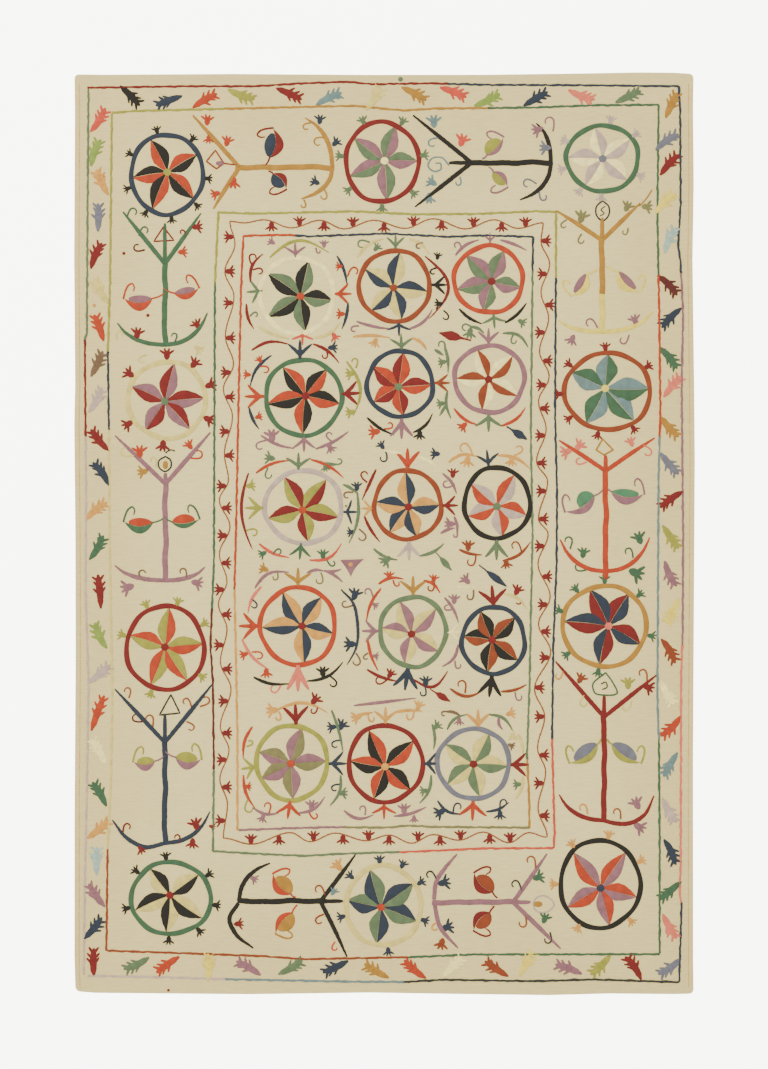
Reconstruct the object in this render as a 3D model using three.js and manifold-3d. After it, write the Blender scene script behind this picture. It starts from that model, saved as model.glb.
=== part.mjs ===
// A suzani kilim: a flat-woven wool rug lying flat, with its edge turned in and stitched down.
// Millimetres, +Z up, the rug's length along Y, and the origin under its middle.

import * as THREE from 'three';
import { mergeVertices } from 'three/addons/utils/BufferGeometryUtils.js';
import Module from 'manifold-3d';

const wasm = await Module();
wasm.setup();

// Driving dimensions.
const halfWidth = 619;
const halfLength = 919;
const clothThickness = 2.4;
const edgeRounding = 0.6;
const cornerRadius = 9;
const hemWidth = 9;
const hemRise = 0.5; // how far the doubled edge stands above the single cloth
const hemRoot = 0.9; // how far down into the cloth the hem's band is joined
const hemSetback = 0.7; // from the rug's outermost edge to the hem's upper edge

const stepsPerSide = 24;
const cornerSteps = 3;
const weldDistance = 1e-4;

// How far each side lies from the middle: [place along the side, reach].
const sideReach = {
  left: [[-919, 617], [-850, 619], [-560, 618.8], [-250, 616.6], [0, 617.2], [220, 619.4], [300, 617.6],
    [550, 619.6], [850, 618], [919, 619]],
  right: [[-919, 619], [-850, 618.2], [-450, 618], [-150, 619.8], [150, 621.6], [300, 620.2], [550, 617],
    [700, 619.4], [850, 618], [919, 619]],
  bottom: [[-619, 914], [-580, 917.4], [-270, 920.2], [-30, 916.8], [100, 919], [330, 922], [450, 918.8],
    [580, 920], [619, 919]],
  top: [[-619, 919], [-560, 918.4], [-300, 919.8], [-30, 918], [200, 918.2], [390, 920.8], [510, 923],
    [580, 922.4], [619, 920]],
};

// A side's reach at a place, read straight between the rows of its table.
function reachAt(rows, place) {
  const next = rows.findIndex((row) => row[0] >= place);
  if (next <= 0) return rows[next < 0 ? rows.length - 1 : 0][1];
  const [from, to] = [rows[next - 1], rows[next]];
  return THREE.MathUtils.mapLinear(place, from[0], to[0], from[1], to[1]);
}

// The rug's outline, drawn in by inset: four uneven sides joined by rounded corners.
function rugOutline(inset) {
  const radius = cornerRadius - inset / 2;
  const width = halfWidth - inset;
  const length = halfLength - inset;
  const sides = [
    { from: [-width, -length], to: [width, -length], rows: sideReach.bottom, out: [0, -1] },
    { from: [width, -length], to: [width, length], rows: sideReach.right, out: [1, 0] },
    { from: [width, length], to: [-width, length], rows: sideReach.top, out: [0, 1] },
    { from: [-width, length], to: [-width, -length], rows: sideReach.left, out: [-1, 0] },
  ];
  return sides.flatMap(({ from, to, rows, out }) => {
    const start = new THREE.Vector2(...from);
    const end = new THREE.Vector2(...to);
    const run = end.clone().sub(start).normalize();
    const outward = new THREE.Vector2(...out);
    const straight = start.distanceTo(end) - 2 * radius;
    const runsAcross = outward.x === 0;
    const nominal = runsAcross ? halfLength : halfWidth;
    const drift = (point) => reachAt(rows, runsAcross ? point.x : point.y) - nominal;
    const points = [];
    for (let step = 0; step <= stepsPerSide; step += 1) {
      const spot = start.clone().addScaledVector(run, radius + (straight * step) / stepsPerSide);
      points.push(spot.addScaledVector(outward, drift(spot)));
    }
    const centre = end.clone()
      .addScaledVector(run, -radius)
      .addScaledVector(outward, drift(end) - radius);
    for (let step = 1; step < cornerSteps; step += 1) {
      const turn = (Math.PI / 2) * (step / cornerSteps);
      points.push(centre.clone()
        .addScaledVector(outward, radius * Math.cos(turn))
        .addScaledVector(run, radius * Math.sin(turn)));
    }
    return points;
  });
}

function toSolid(geometry) {
  geometry.deleteAttribute('normal');
  geometry.deleteAttribute('uv');
  const merged = mergeVertices(geometry, weldDistance);
  return new wasm.Manifold(new wasm.Mesh({
    numProp: 3,
    vertProperties: new Float32Array(merged.attributes.position.array),
    triVerts: new Uint32Array(merged.index.array),
  }));
}

function clothSolid() {
  const geometry = new THREE.ExtrudeGeometry(new THREE.Shape(rugOutline(edgeRounding)), {
    depth: clothThickness - 2 * edgeRounding,
    bevelThickness: edgeRounding,
    bevelSize: edgeRounding,
    bevelSegments: 2,
  });
  geometry.translate(0, 0, edgeRounding);
  return toSolid(geometry);
}

// The doubled cloth of the turned edge, as a band that stands a little above the rest.
function hemSolid() {
  const band = new THREE.Shape(rugOutline(hemSetback));
  band.holes.push(new THREE.Path(rugOutline(hemWidth)));
  const geometry = new THREE.ExtrudeGeometry(band, { depth: hemRoot + hemRise, bevelEnabled: false });
  geometry.translate(0, 0, clothThickness - hemRoot);
  return toSolid(geometry);
}

function toMesh(solid, name, material) {
  const { vertProperties, triVerts } = solid.getMesh();
  const geometry = new THREE.BufferGeometry();
  geometry.setAttribute('position', new THREE.BufferAttribute(new Float32Array(vertProperties), 3));
  geometry.setIndex(new THREE.BufferAttribute(new Uint32Array(triVerts), 1));
  geometry.computeVertexNormals();
  const mesh = new THREE.Mesh(geometry, material);
  mesh.name = name;
  return mesh;
}

const wool = new THREE.MeshStandardMaterial({ color: 0xd5cbac, roughness: 0.92, metalness: 0 });

const rug = new THREE.Group();
rug.name = 'suzani_kilim_rug';
rug.add(toMesh(clothSolid().add(hemSolid()), 'kilim', wool));

export default rug;
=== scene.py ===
import math

import bpy
import numpy as np
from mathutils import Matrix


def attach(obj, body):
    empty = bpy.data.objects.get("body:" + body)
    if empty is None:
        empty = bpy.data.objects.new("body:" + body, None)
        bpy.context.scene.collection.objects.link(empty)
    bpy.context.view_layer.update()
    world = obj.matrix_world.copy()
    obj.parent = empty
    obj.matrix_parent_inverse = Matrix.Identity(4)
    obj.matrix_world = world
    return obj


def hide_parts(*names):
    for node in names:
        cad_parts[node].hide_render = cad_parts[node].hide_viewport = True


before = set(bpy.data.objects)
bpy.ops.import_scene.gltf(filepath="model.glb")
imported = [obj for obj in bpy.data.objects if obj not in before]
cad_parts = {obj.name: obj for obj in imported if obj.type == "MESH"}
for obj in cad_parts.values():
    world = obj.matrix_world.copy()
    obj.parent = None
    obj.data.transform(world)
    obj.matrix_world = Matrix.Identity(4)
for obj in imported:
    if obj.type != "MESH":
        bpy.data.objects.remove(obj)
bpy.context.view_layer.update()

# Places are millimetres on the rug, from its middle, +x to the photo's right and +y to its top.
mm = 0.001

# The dyed wools, near the screen colours that they have in the photo.
wools = {
    "crimson": (147, 43, 45),
    "orange": (188, 88, 50),
    "rust": (160, 90, 51),
    "navy": (68, 80, 107),
    "black": (47, 39, 32),
    "dkgreen": (91, 124, 107),
    "sage": (120, 137, 118),
    "lime": (166, 163, 92),
    "mauve": (158, 120, 140),
    "lilac": (184, 167, 172),
    "blue": (127, 146, 160),
    "peri": (131, 130, 153),
    "mustard": (180, 143, 72),
    "tan": (204, 161, 102),
    "khaki": (204, 191, 140),
    "cream": (225, 214, 178),
    "pink": (209, 133, 125),
    "coral": (203, 102, 90),
    "yellow": (214, 198, 118),
    "taupe": (140, 116, 102),
    "vine": (165, 107, 77),
    "teal": (104, 147, 127),
    "olive": (145, 140, 110),
    "slate": (71, 76, 78),
    "palelilac": (190, 171, 175),
    "maroon": (122, 53, 54),
    "leafgreen": (150, 166, 100),
    "paleblue": (165, 180, 188),
}
# How far each wool is set off from the ground's colour, as a power of their ratio. The light and the
# picture's tone curve soften colours, so the ground's own colour is a little yellower than it is seen.
deepening = {"seen": (212, 200, 170), "ground": (217, 202, 140), "power": 1.52, "shade": 0.38}

# Every stitched band, in mm above the cloth, with its profile from one edge to the other.
stitch = {
    "cloth": 2.4,
    "rise": 1.1,
    "root": 0.5,
    "shoulder": 1.1,
    "shoulderMost": 0.3,
    "lip": 0.4,
    "profile": (0, 0.62, 0.93, 1.0, 0.93, 0.62, 0),
    "fullWidth": 3.0,
    "flattest": 0.45,
    "layer": 0.035,
    "layers": 9,
    "tint": 0.07,
    "tintWave": 46,
    "least": 0.25,
    "edgeWaves": (13, 11),
    "dotLift": 0.3,
    "dotEnd": 0.98,
    "dotRows": 13,
}
# A small wandering: the lengths of its waves as shares of the given one, and what their sum is divided by.
ripple = {"waves": (1.0, 0.61, 0.37), "most": 1.8}


def linear(colour):
    # A screen colour to a linear one, by the usual 2.4 power with its straight foot.
    share = np.asarray(colour, float) / 255
    return np.where(share <= 0.04045, share / 12.92, ((share + 0.055) / 1.055) ** 2.4)


def dyed(colour):
    # The wool's ratio to the ground's colour is raised to a power, and the darker wools are shaded too.
    ratio = linear(wools[colour]) / linear(deepening["seen"])
    shade = 1 - deepening["shade"] * np.clip(1 - ratio.mean(), 0, 1)
    return linear(deepening["ground"]) * shade * ratio ** deepening["power"]


def direction(degrees):
    # A unit step at an angle, counter-clockwise from +x.
    turn = math.radians(degrees)
    return np.array([math.cos(turn), math.sin(turn)])


def leftOf(ahead):
    # The same step after a quarter turn to the left.
    return np.stack([-ahead[..., 1], ahead[..., 0]], axis=-1)


def lengthAlong(path):
    # The distance along the path at each of its points, as a running sum.
    return np.concatenate([[0], np.cumsum(np.linalg.norm(np.diff(path, axis=0), axis=1))])


def wobble(along, seed, wave, reach):
    # Three sine waves near the given length, each with a start of its own, added up.
    starts = np.random.default_rng(abs(seed)).uniform(0, 2 * math.pi, 3)
    parts = zip(ripple["waves"], starts)
    total = sum(np.sin(2 * math.pi * along / (wave * part) + start) for part, start in parts)
    return reach / ripple["most"] * total


def curve(points, step=3.0):
    # Cubic pieces through the points, with the slope at each taken between its neighbours.
    points = np.asarray(points, float)
    chord = lengthAlong(points)
    slope = np.gradient(points, chord, axis=0)
    at = np.linspace(0, chord[-1], max(4, round(chord[-1] / step) + 1))
    piece = np.clip(np.searchsorted(chord, at, side="right") - 1, 0, len(points) - 2)
    size = (chord[piece + 1] - chord[piece])[:, None]
    t = (at - chord[piece])[:, None] / size
    start, end = points[piece], points[piece + 1]
    startSlope, endSlope = slope[piece] * size, slope[piece + 1] * size
    return (
        (2 * t**3 - 3 * t**2 + 1) * start
        + (t**3 - 2 * t**2 + t) * startSlope
        + (3 * t**2 - 2 * t**3) * end
        + (t**3 - t**2) * endSlope
    )


def newBundle():
    # What the strips of one piece are gathered in, with counts of points and strips.
    return {"points": [], "faces": [], "across": [], "colours": [], "count": 0, "strips": 0}


def strip(bundle, left, right, colour, closed=False, lift=0.0):
    # A raised band between two edges. Across it the height goes root, shoulder, crown, shoulder, root.
    seed = bundle["strips"]
    bundle["strips"] += 1
    span = right - left
    width = np.maximum(np.linalg.norm(span, axis=1), 1e-6)
    if not closed:
        ends = np.zeros(len(left) + 2, int)
        ends[1:-1] = np.arange(len(left))
        ends[-1] = len(left) - 1
        left, right, width = left[ends], right[ends], width[ends]
        span = right - left
    shoulder = np.minimum(stitch["shoulder"] / width, stitch["shoulderMost"])
    lip = shoulder * stitch["lip"]
    zero = np.zeros(len(left))
    share = np.stack([zero, lip, shoulder, zero + 0.5, 1 - shoulder, 1 - lip, zero + 1], axis=1)
    rise = stitch["rise"] + stitch["layer"] * (seed % stitch["layers"]) + lift
    narrow = np.clip(width / stitch["fullWidth"], stitch["flattest"], 1.0)
    height = np.outer(narrow * (rise + stitch["root"]), stitch["profile"])
    if not closed:
        height[[0, -1]] = 0
    flat = left[:, None, :] + span[:, None, :] * share[:, :, None]
    middle = (left + right) / 2
    if closed:
        loop = np.concatenate([middle, middle[:1]])
        along = lengthAlong(loop)[:-1]
    else:
        along = lengthAlong(middle)
    rows, columns = share.shape
    points = np.empty((rows, columns, 3))
    points[:, :, :2] = flat
    points[:, :, 2] = stitch["cloth"] - stitch["root"] + height
    across = np.empty((rows, columns, 2))
    across[:, :, 0] = share * width[:, None]
    across[:, :, 1] = along[:, None]
    tint = 1 + wobble(along, seed + 7, stitch["tintWave"], stitch["tint"])
    colours = np.ones((rows, columns, 4))
    colours[:, :, :3] = dyed(colour)[None, None, :] * tint[:, None, None]
    last = rows if closed else rows - 1
    row, column = np.meshgrid(np.arange(last), np.arange(columns - 1), indexing="ij")
    after = (row + 1) % rows
    first = bundle["count"]
    faces = np.stack(
        [
            row * columns + column,
            row * columns + column + 1,
            after * columns + column + 1,
            after * columns + column,
        ],
        axis=-1,
    ).reshape(-1, 4)[:, ::-1]
    bundle["points"].append(points.reshape(-1, 3))
    bundle["faces"].append(faces + first)
    bundle["across"].append(across.reshape(-1, 2))
    bundle["colours"].append(colours.reshape(-1, 4))
    bundle["count"] += rows * columns


def ribbon(bundle, path, halfWidth, colour, closed=False, ragged=0.3, lift=0.0):
    # The path moved to each side by the half-width, which wanders a little as stitches do.
    path = np.asarray(path, float)
    if closed:
        ahead = np.roll(path, -1, axis=0) - np.roll(path, 1, axis=0)
    else:
        ahead = np.gradient(path, axis=0)
    ahead = ahead / np.maximum(np.linalg.norm(ahead, axis=1, keepdims=True), 1e-9)
    along = lengthAlong(path)
    half = np.broadcast_to(np.asarray(halfWidth, float), len(path))
    seed = bundle["strips"]
    leftWave, rightWave = stitch["edgeWaves"]
    leftHalf = np.maximum(half + wobble(along, seed * 2 + 1, leftWave, ragged), stitch["least"])
    rightHalf = np.maximum(half + wobble(along, seed * 2 + 2, rightWave, ragged), stitch["least"])
    side = leftOf(ahead)
    # The edges are given right to left, so that the faces look up.
    strip(bundle, path - side * rightHalf[:, None], path + side * leftHalf[:, None], colour, closed, lift)


# A tapered band: the shares of its length over which it opens and closes, and the power of each.
tapering = {"open": 0.3, "openPower": 0.6, "close": 0.45, "closePower": 0.8}


def spindle(count, full, start, end):
    # Half-widths that go from a share of the full one, up to it, and down to another share.
    t = np.linspace(0, 1, count)
    opening = start + (1 - start) * np.minimum(t / tapering["open"], 1) ** tapering["openPower"]
    closing = end + (1 - end) * np.minimum((1 - t) / tapering["close"], 1) ** tapering["closePower"]
    return full * np.minimum(opening, closing)


def dot(bundle, place, radius, colour, stretch=1.0, heading=0.0):
    # A disc or oval as one strip, whose half-width is that of a circle.
    t = np.linspace(-stitch["dotEnd"], stitch["dotEnd"], stitch["dotRows"])
    path = np.asarray(place, float) + direction(heading) * (t * radius * stretch)[:, None]
    ribbon(bundle, path, radius * np.sqrt(1 - t**2), colour, ragged=0.2, lift=stitch["dotLift"])


# Lengths and half-widths are shares of the claw's size, and turns are degrees.
claws = {
    "palm": 0.58,
    "palmHalf": 0.27,
    "palmShape": (0.35, 0.7, 0.95, 1, 0.9, 0.5),
    "root": 0.42,
    "fingers": 4,
    "fingerHalf": 0.118,
    "fingerShape": (1, 1, 1, 0.95, 0.8, 0.5),
    "spread": 41,
    "tipTurn": 0.9,
}


def claw(bundle, place, heading, size, colour):
    # A solid palm, and short thick fingers that leave it in a fan.
    place = np.asarray(place, float)
    ahead = direction(heading)
    palmHalf = np.array(claws["palmShape"]) * claws["palmHalf"] * size
    path = place + ahead * np.linspace(0, claws["palm"] * size, len(palmHalf))[:, None]
    ribbon(bundle, path, palmHalf, colour, ragged=0.2)
    root = place + ahead * claws["root"] * size
    fingerHalf = claws["fingerHalf"] * size * np.array(claws["fingerShape"])
    for turn in np.linspace(-claws["spread"], claws["spread"], claws["fingers"]):
        tip = place + direction(heading + turn * claws["tipTurn"]) * size
        finger = root + (tip - root) * np.linspace(0, 1, len(fingerHalf))[:, None]
        ribbon(bundle, finger, fingerHalf, colour, ragged=0.15)


# The half-width in mm and its shares at both ends, then shares of the hook's size, and the bend in degrees.
hooks = {"half": 2.0, "start": 1.0, "end": 0.7, "straight": 0.55, "curl": 0.26, "bend": 215, "steps": 7}


def hook(bundle, place, heading, size, turn, colour):
    # A stem that bends round to one side, by the angle above.
    place = np.asarray(place, float)
    ahead = direction(heading)
    side = leftOf(ahead) * turn
    angle = np.linspace(0, math.radians(hooks["bend"]), hooks["steps"])[:, None]
    radius = hooks["curl"] * size
    start = place + ahead * hooks["straight"] * size
    bend = start + ahead * radius * np.sin(angle) + side * radius * (1 - np.cos(angle))
    path = curve(np.concatenate([place[None, :], bend]), 2.5)
    half = spindle(len(path), hooks["half"], hooks["start"], hooks["end"])
    ribbon(bundle, path, half, colour, ragged=0.15)


# The half-width in mm, its shares at both ends, and the mm from one point to the next.
arcs = {"half": 3.5, "start": 0.45, "end": 0.3, "step": 4}


def arc(bundle, startX, startY, endX, endY, bow, colour):
    # A half sine between two ends, bowed to the left of the way from one to the other.
    start, end = np.array([startX, startY], float), np.array([endX, endY], float)
    chord = end - start
    side = leftOf(chord / np.linalg.norm(chord))
    t = np.linspace(0, 1, max(10, round(np.linalg.norm(chord) / arcs["step"])))
    path = start + chord * t[:, None] + side * (bow * np.sin(math.pi * t))[:, None]
    ribbon(bundle, path, spindle(len(path), arcs["half"], arcs["start"], arcs["end"]), colour)


# Lengths and half-widths are shares of the fork's size. The stem starts so many mm before its place.
forks = {
    "before": 3,
    "stem": 0.55,
    "stemHalf": 0.13,
    "stemShape": (0.8, 0.9, 1, 1.1, 1, 0.8),
    "leave": 0.15,
    "bendTurn": 0.75,
    "bendReach": 0.62,
    "middle": 1.12,
    "side": 1.15,
    "prongHalf": 0.115,
    "prongShape": (1.1, 1.1, 1.1, 1.05, 1, 0.9, 0.7, 0.4),
}


def fork(bundle, x, y, heading, size, spread, colour):
    # A stem and three prongs; the outer two leave it steeply and bend out to the spread.
    root = np.array([x, y], float)
    ahead = direction(heading)
    stemHalf = forks["stemHalf"] * size * np.array(forks["stemShape"])
    stem = root + ahead * np.linspace(-forks["before"], forks["stem"] * size, len(stemHalf))[:, None]
    ribbon(bundle, stem, stemHalf, colour, ragged=0.2)
    prongHalf = forks["prongHalf"] * size * np.array(forks["prongShape"])
    start = root + ahead * forks["leave"] * size
    t = np.linspace(0, 1, len(prongHalf))[:, None]
    for turn, share in ((0, forks["middle"]), (spread, forks["side"]), (-spread, forks["side"])):
        bend = root + direction(heading + turn * forks["bendTurn"]) * size * forks["bendReach"]
        tip = root + direction(heading + turn) * size * share
        prong = start * (1 - t) ** 2 + bend * 2 * t * (1 - t) + tip * t**2
        ribbon(bundle, prong, prongHalf, colour, ragged=0.2)


print("scene: stitches ready")


# The cloth, whose four sides lie at the same reach as the CAD's do: [place along the side, reach].
cloth = {
    "halfWidth": 619.0,
    "halfLength": 919.0,
    "thickness": 2.4,
    "hemWidth": 9.0,
    "hemRise": 0.5,
    "hemSlope": 0.9,
    "groove": 0.35,
    "grooveHalf": 0.7,
    "grooveIn": 0.8,
    "round": 0.6,
    "roundReach": 0.7,
    "corner": 9.0,
    "pucker": 0.12,
    "puckerIn": 20,
    "puckerSlants": (0.7, 0.4),
    "puckerWaves": (210, 170),
    "hemRows": (0, 0.25, 0.7, 1.5, 4.5, 8.2, 9.0, 9.8, 14),
    "evenFrom": 20,
    "step": 10.0,
    "left": [
        (-919, 617), (-850, 619), (-560, 618.8), (-250, 616.6), (0, 617.2), (220, 619.4), (300, 617.6),
        (550, 619.6), (850, 618), (919, 619),
    ],
    "right": [
        (-919, 619), (-850, 618.2), (-450, 618), (-150, 619.8), (150, 621.6), (300, 620.2), (550, 617),
        (700, 619.4), (850, 618), (919, 619),
    ],
    "bottom": [
        (-619, 914), (-580, 917.4), (-270, 920.2), (-30, 916.8), (100, 919), (330, 922), (450, 918.8),
        (580, 920), (619, 919),
    ],
    "top": [
        (-619, 919), (-560, 918.4), (-300, 919.8), (-30, 918), (200, 918.2), (390, 920.8), (510, 923),
        (580, 922.4), (619, 920),
    ],
}


def reach(side, place):
    # How far out the side lies at a place, straight between the rows.
    rows = np.array(cloth[side], float)
    return np.interp(place, rows[:, 0], rows[:, 1])


def stops(half):
    # Places across the cloth: close rows in the hem, then even ones.
    hem = np.array(cloth["hemRows"])
    inside = half - cloth["evenFrom"]
    even = np.linspace(-inside, inside, round(2 * inside / cloth["step"]))
    return np.concatenate([-half + hem, even, half - hem[::-1]])


def clothMesh():
    # A grid whose columns and rows are moved out to the uneven sides, with rounded corners.
    across = stops(cloth["halfWidth"])
    along = stops(cloth["halfLength"])
    x, y = np.meshgrid(across, along)
    shareX = x / cloth["halfWidth"]
    shareY = y / cloth["halfLength"]
    nearX = np.where(x < 0, reach("left", y), reach("right", y)) - cloth["halfWidth"]
    nearY = np.where(y < 0, reach("bottom", x), reach("top", x)) - cloth["halfLength"]
    edgeX = cloth["halfWidth"] - np.abs(x)
    edgeY = cloth["halfLength"] - np.abs(y)
    # In a corner the grid's square is pressed into a quarter circle.
    inX = np.maximum(cloth["corner"] - edgeX, 0)
    inY = np.maximum(cloth["corner"] - edgeY, 0)
    size = np.hypot(inX, inY)
    most = np.maximum(inX, inY)
    press = np.where(size > 0, most / np.maximum(size, 1e-9), 1)
    movedX = x - np.sign(x) * inX * (1 - press)
    movedY = y - np.sign(y) * inY * (1 - press)
    movedX = movedX + np.sign(x) * nearX * shareX**2
    movedY = movedY + np.sign(y) * nearY * shareY**2
    edge = np.minimum(edgeX, edgeY)
    hem = cloth["hemRise"] * np.clip((cloth["hemWidth"] + 0.5 - edge) / cloth["hemSlope"], 0, 1)
    grooveAt = (edge - cloth["hemWidth"] + cloth["grooveIn"]) / cloth["grooveHalf"]
    groove = -cloth["groove"] * np.exp(-(grooveAt**2))
    turned = 1 - np.clip(edge / cloth["roundReach"], 0, 1)
    rounding = cloth["round"] * (1 - np.sqrt(np.clip(1 - turned**2, 0, 1)))
    slantX, slantY = cloth["puckerSlants"]
    waveX, waveY = cloth["puckerWaves"]
    pucker = wobble(x + slantX * y, 3, waveX, cloth["pucker"])
    pucker = pucker + wobble(y - slantY * x, 4, waveY, cloth["pucker"])
    top = cloth["thickness"] + hem + groove + pucker * np.clip(edge / cloth["puckerIn"], 0, 1) - rounding
    rows, columns = x.shape
    upper = np.stack([movedX, movedY, top], axis=-1).reshape(-1, 3)
    lower = np.stack([movedX, movedY, rounding], axis=-1).reshape(-1, 3)
    row, column = np.meshgrid(np.arange(rows - 1), np.arange(columns - 1), indexing="ij")
    corner = (row * columns + column).reshape(-1)
    upperFaces = np.stack([corner, corner + 1, corner + columns + 1, corner + columns], axis=1)
    lowerFaces = upperFaces[:, ::-1] + rows * columns
    south = np.arange(columns)
    east = np.arange(rows) * columns + columns - 1
    north = (rows - 1) * columns + np.arange(columns)[::-1]
    west = np.arange(rows)[::-1] * columns
    rim = np.concatenate([south[:-1], east[:-1], north[:-1], west[:-1]])
    nextRim = np.roll(rim, -1)
    wall = np.stack([rim, rim + rows * columns, nextRim + rows * columns, nextRim], axis=1)[:, ::-1]
    points = np.concatenate([upper, lower])
    faces = np.concatenate([upperFaces, lowerFaces, wall])
    flat = points[:, :2].copy()
    flat[:, 0] += points[:, 2]
    colours = np.ones((len(points), 4))
    return points, faces, flat, colours


def makeObject(name, points, faces, across, colours, material, slotName):
    # Whole arrays go in at once; the map is in metres, and the colours sit on the points.
    mesh = bpy.data.meshes.new(name)
    mesh.vertices.add(len(points))
    mesh.vertices.foreach_set("co", (points * mm).astype(np.float32).ravel())
    mesh.loops.add(faces.size)
    mesh.loops.foreach_set("vertex_index", faces.astype(np.int32).ravel())
    mesh.polygons.add(len(faces))
    mesh.polygons.foreach_set("loop_start", (np.arange(len(faces)) * 4).astype(np.int32))
    mesh.update(calc_edges=True)
    mesh.validate()
    mesh.polygons.foreach_set("use_smooth", np.ones(len(mesh.polygons), bool))
    order = np.zeros(len(mesh.loops), np.int32)
    mesh.loops.foreach_get("vertex_index", order)
    layer = mesh.uv_layers.new(name="stitches")
    layer.data.foreach_set("uv", (across * mm).astype(np.float32)[order].ravel())
    wool = mesh.color_attributes.new(name="wool", type="FLOAT_COLOR", domain="POINT")
    wool.data.foreach_set("color", colours.astype(np.float32).ravel())
    mesh.materials.append(material)
    made = bpy.data.objects.new(name, mesh)
    bpy.context.scene.collection.objects.link(made)
    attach(made, "root")
    print("scene:", name, len(mesh.polygons), "faces")
    return made


def bundleObject(name, bundle, material):
    keys = ("points", "faces", "across", "colours")
    points, faces, across, colours = (np.concatenate(bundle[key]) for key in keys)
    return makeObject(name, points, faces, across, colours, material, "stitched_wool")


# Shaders. A span says which part of a value becomes which shades: [from, to, first shade, last shade].
groundLook = {
    "cream": (218, 203, 144),
    "tan": (210, 191, 130),
    "roughness": 0.92,
    "nearSide": (0.40, 0.62, 0.0, 1.0),
    "nearEnd": (0.60, 0.92, 0.0, 0.8),
    "patches": {"scale": 5.0, "detail": 3.0, "span": (0.3, 0.7, 0.97, 1.03)},
    "slubs": {"scale": 1.0, "detail": 2.0, "span": (0.3, 0.7, 0.925, 1.06)},
    "slubStretch": (40, 330, 40),
    "specks": {"scale": 420.0, "detail": 1.0, "span": (0.3, 0.7, 0.955, 1.035)},
    "warp": 2600.0,
    "weft": 1500.0,
    "bump": 0.35,
    "bumpDepth": 0.0006,
}
stitchLook = {
    "roughness": 0.85,
    "threadStretch": (260, 1100, 1),
    # The threads' span of shades is painted shade, darker between the thread ridges.
    "threads": (0.25, 0.75, 0.85, 1.11),
    "uneven": {"scale": 90.0, "detail": 2.0, "span": (0.3, 0.7, 0.90, 1.08)},
    "bump": 0.5,
    "bumpDepth": 0.0006,
}


def newMaterial(name, roughness):
    # A plain shader of the given roughness.
    material = bpy.data.materials.new(name)
    material.use_nodes = True
    tree = material.node_tree
    shader = tree.nodes["Principled BSDF"]
    shader.inputs["Roughness"].default_value = roughness
    return material, tree, shader


def addNode(tree, kind, **values):
    # A node of this kind with its settings.
    node = tree.nodes.new(kind)
    for key, value in values.items():
        setattr(node, key, value)
    return node


def mixNode(tree, blend, factor, first, second):
    # A colour mix; a factor or a colour may be a number or another node's socket.
    node = addNode(tree, "ShaderNodeMix", data_type="RGBA", blend_type=blend)
    sockets = {"factor": node.inputs[0], "first": node.inputs[6], "second": node.inputs[7]}
    for key, value in (("factor", factor), ("first", first), ("second", second)):
        if isinstance(value, bpy.types.NodeSocket):
            tree.links.new(value, sockets[key])
        else:
            sockets[key].default_value = value
    return node.outputs[2]


def noiseNode(tree, vector, scale, detail):
    # A noise from 0 to 1, with so many waves to a unit of the vector.
    node = addNode(tree, "ShaderNodeTexNoise")
    node.inputs["Scale"].default_value = scale
    node.inputs["Detail"].default_value = detail
    tree.links.new(vector, node.inputs["Vector"])
    return node.outputs["Fac"]


def rampNode(tree, value, low, high, start, end):
    # The value's way from low to high becomes the way from start to end.
    node = addNode(tree, "ShaderNodeMapRange")
    node.inputs["From Min"].default_value = low
    node.inputs["From Max"].default_value = high
    node.inputs["To Min"].default_value = start
    node.inputs["To Max"].default_value = end
    tree.links.new(value, node.inputs["Value"])
    return node.outputs["Result"]


def mathNode(tree, operation, first, second):
    # One operation on two values, each a number or another node's socket.
    node = addNode(tree, "ShaderNodeMath", operation=operation)
    for socket, value in zip(node.inputs, (first, second)):
        if isinstance(value, bpy.types.NodeSocket):
            tree.links.new(value, socket)
        else:
            socket.default_value = value
    return node.outputs[0]


def stretched(tree, vector, scales):
    # The vector times a scale on each axis.
    node = addNode(tree, "ShaderNodeMapping")
    node.inputs["Scale"].default_value = scales
    tree.links.new(vector, node.inputs["Vector"])
    return node.outputs["Vector"]


def bumpNode(tree, height, strength, distance, shader):
    # The height tilts the shaded surface, by a strength and a depth in metres.
    node = addNode(tree, "ShaderNodeBump")
    node.inputs["Strength"].default_value = strength
    node.inputs["Distance"].default_value = distance
    tree.links.new(height, node.inputs["Height"])
    tree.links.new(node.outputs["Normal"], shader.inputs["Normal"])


def shadeNode(tree, vector, look):
    # A noise whose values become shades.
    noise = noiseNode(tree, vector, look["scale"], look["detail"])
    return rampNode(tree, noise, *look["span"])


def shaded(tree, colour, shade):
    # The colour times the shade.
    grey = addNode(tree, "ShaderNodeCombineXYZ")
    for socket in grey.inputs:
        tree.links.new(shade, socket)
    return mixNode(tree, "MULTIPLY", 1.0, colour, grey.outputs[0])


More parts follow.
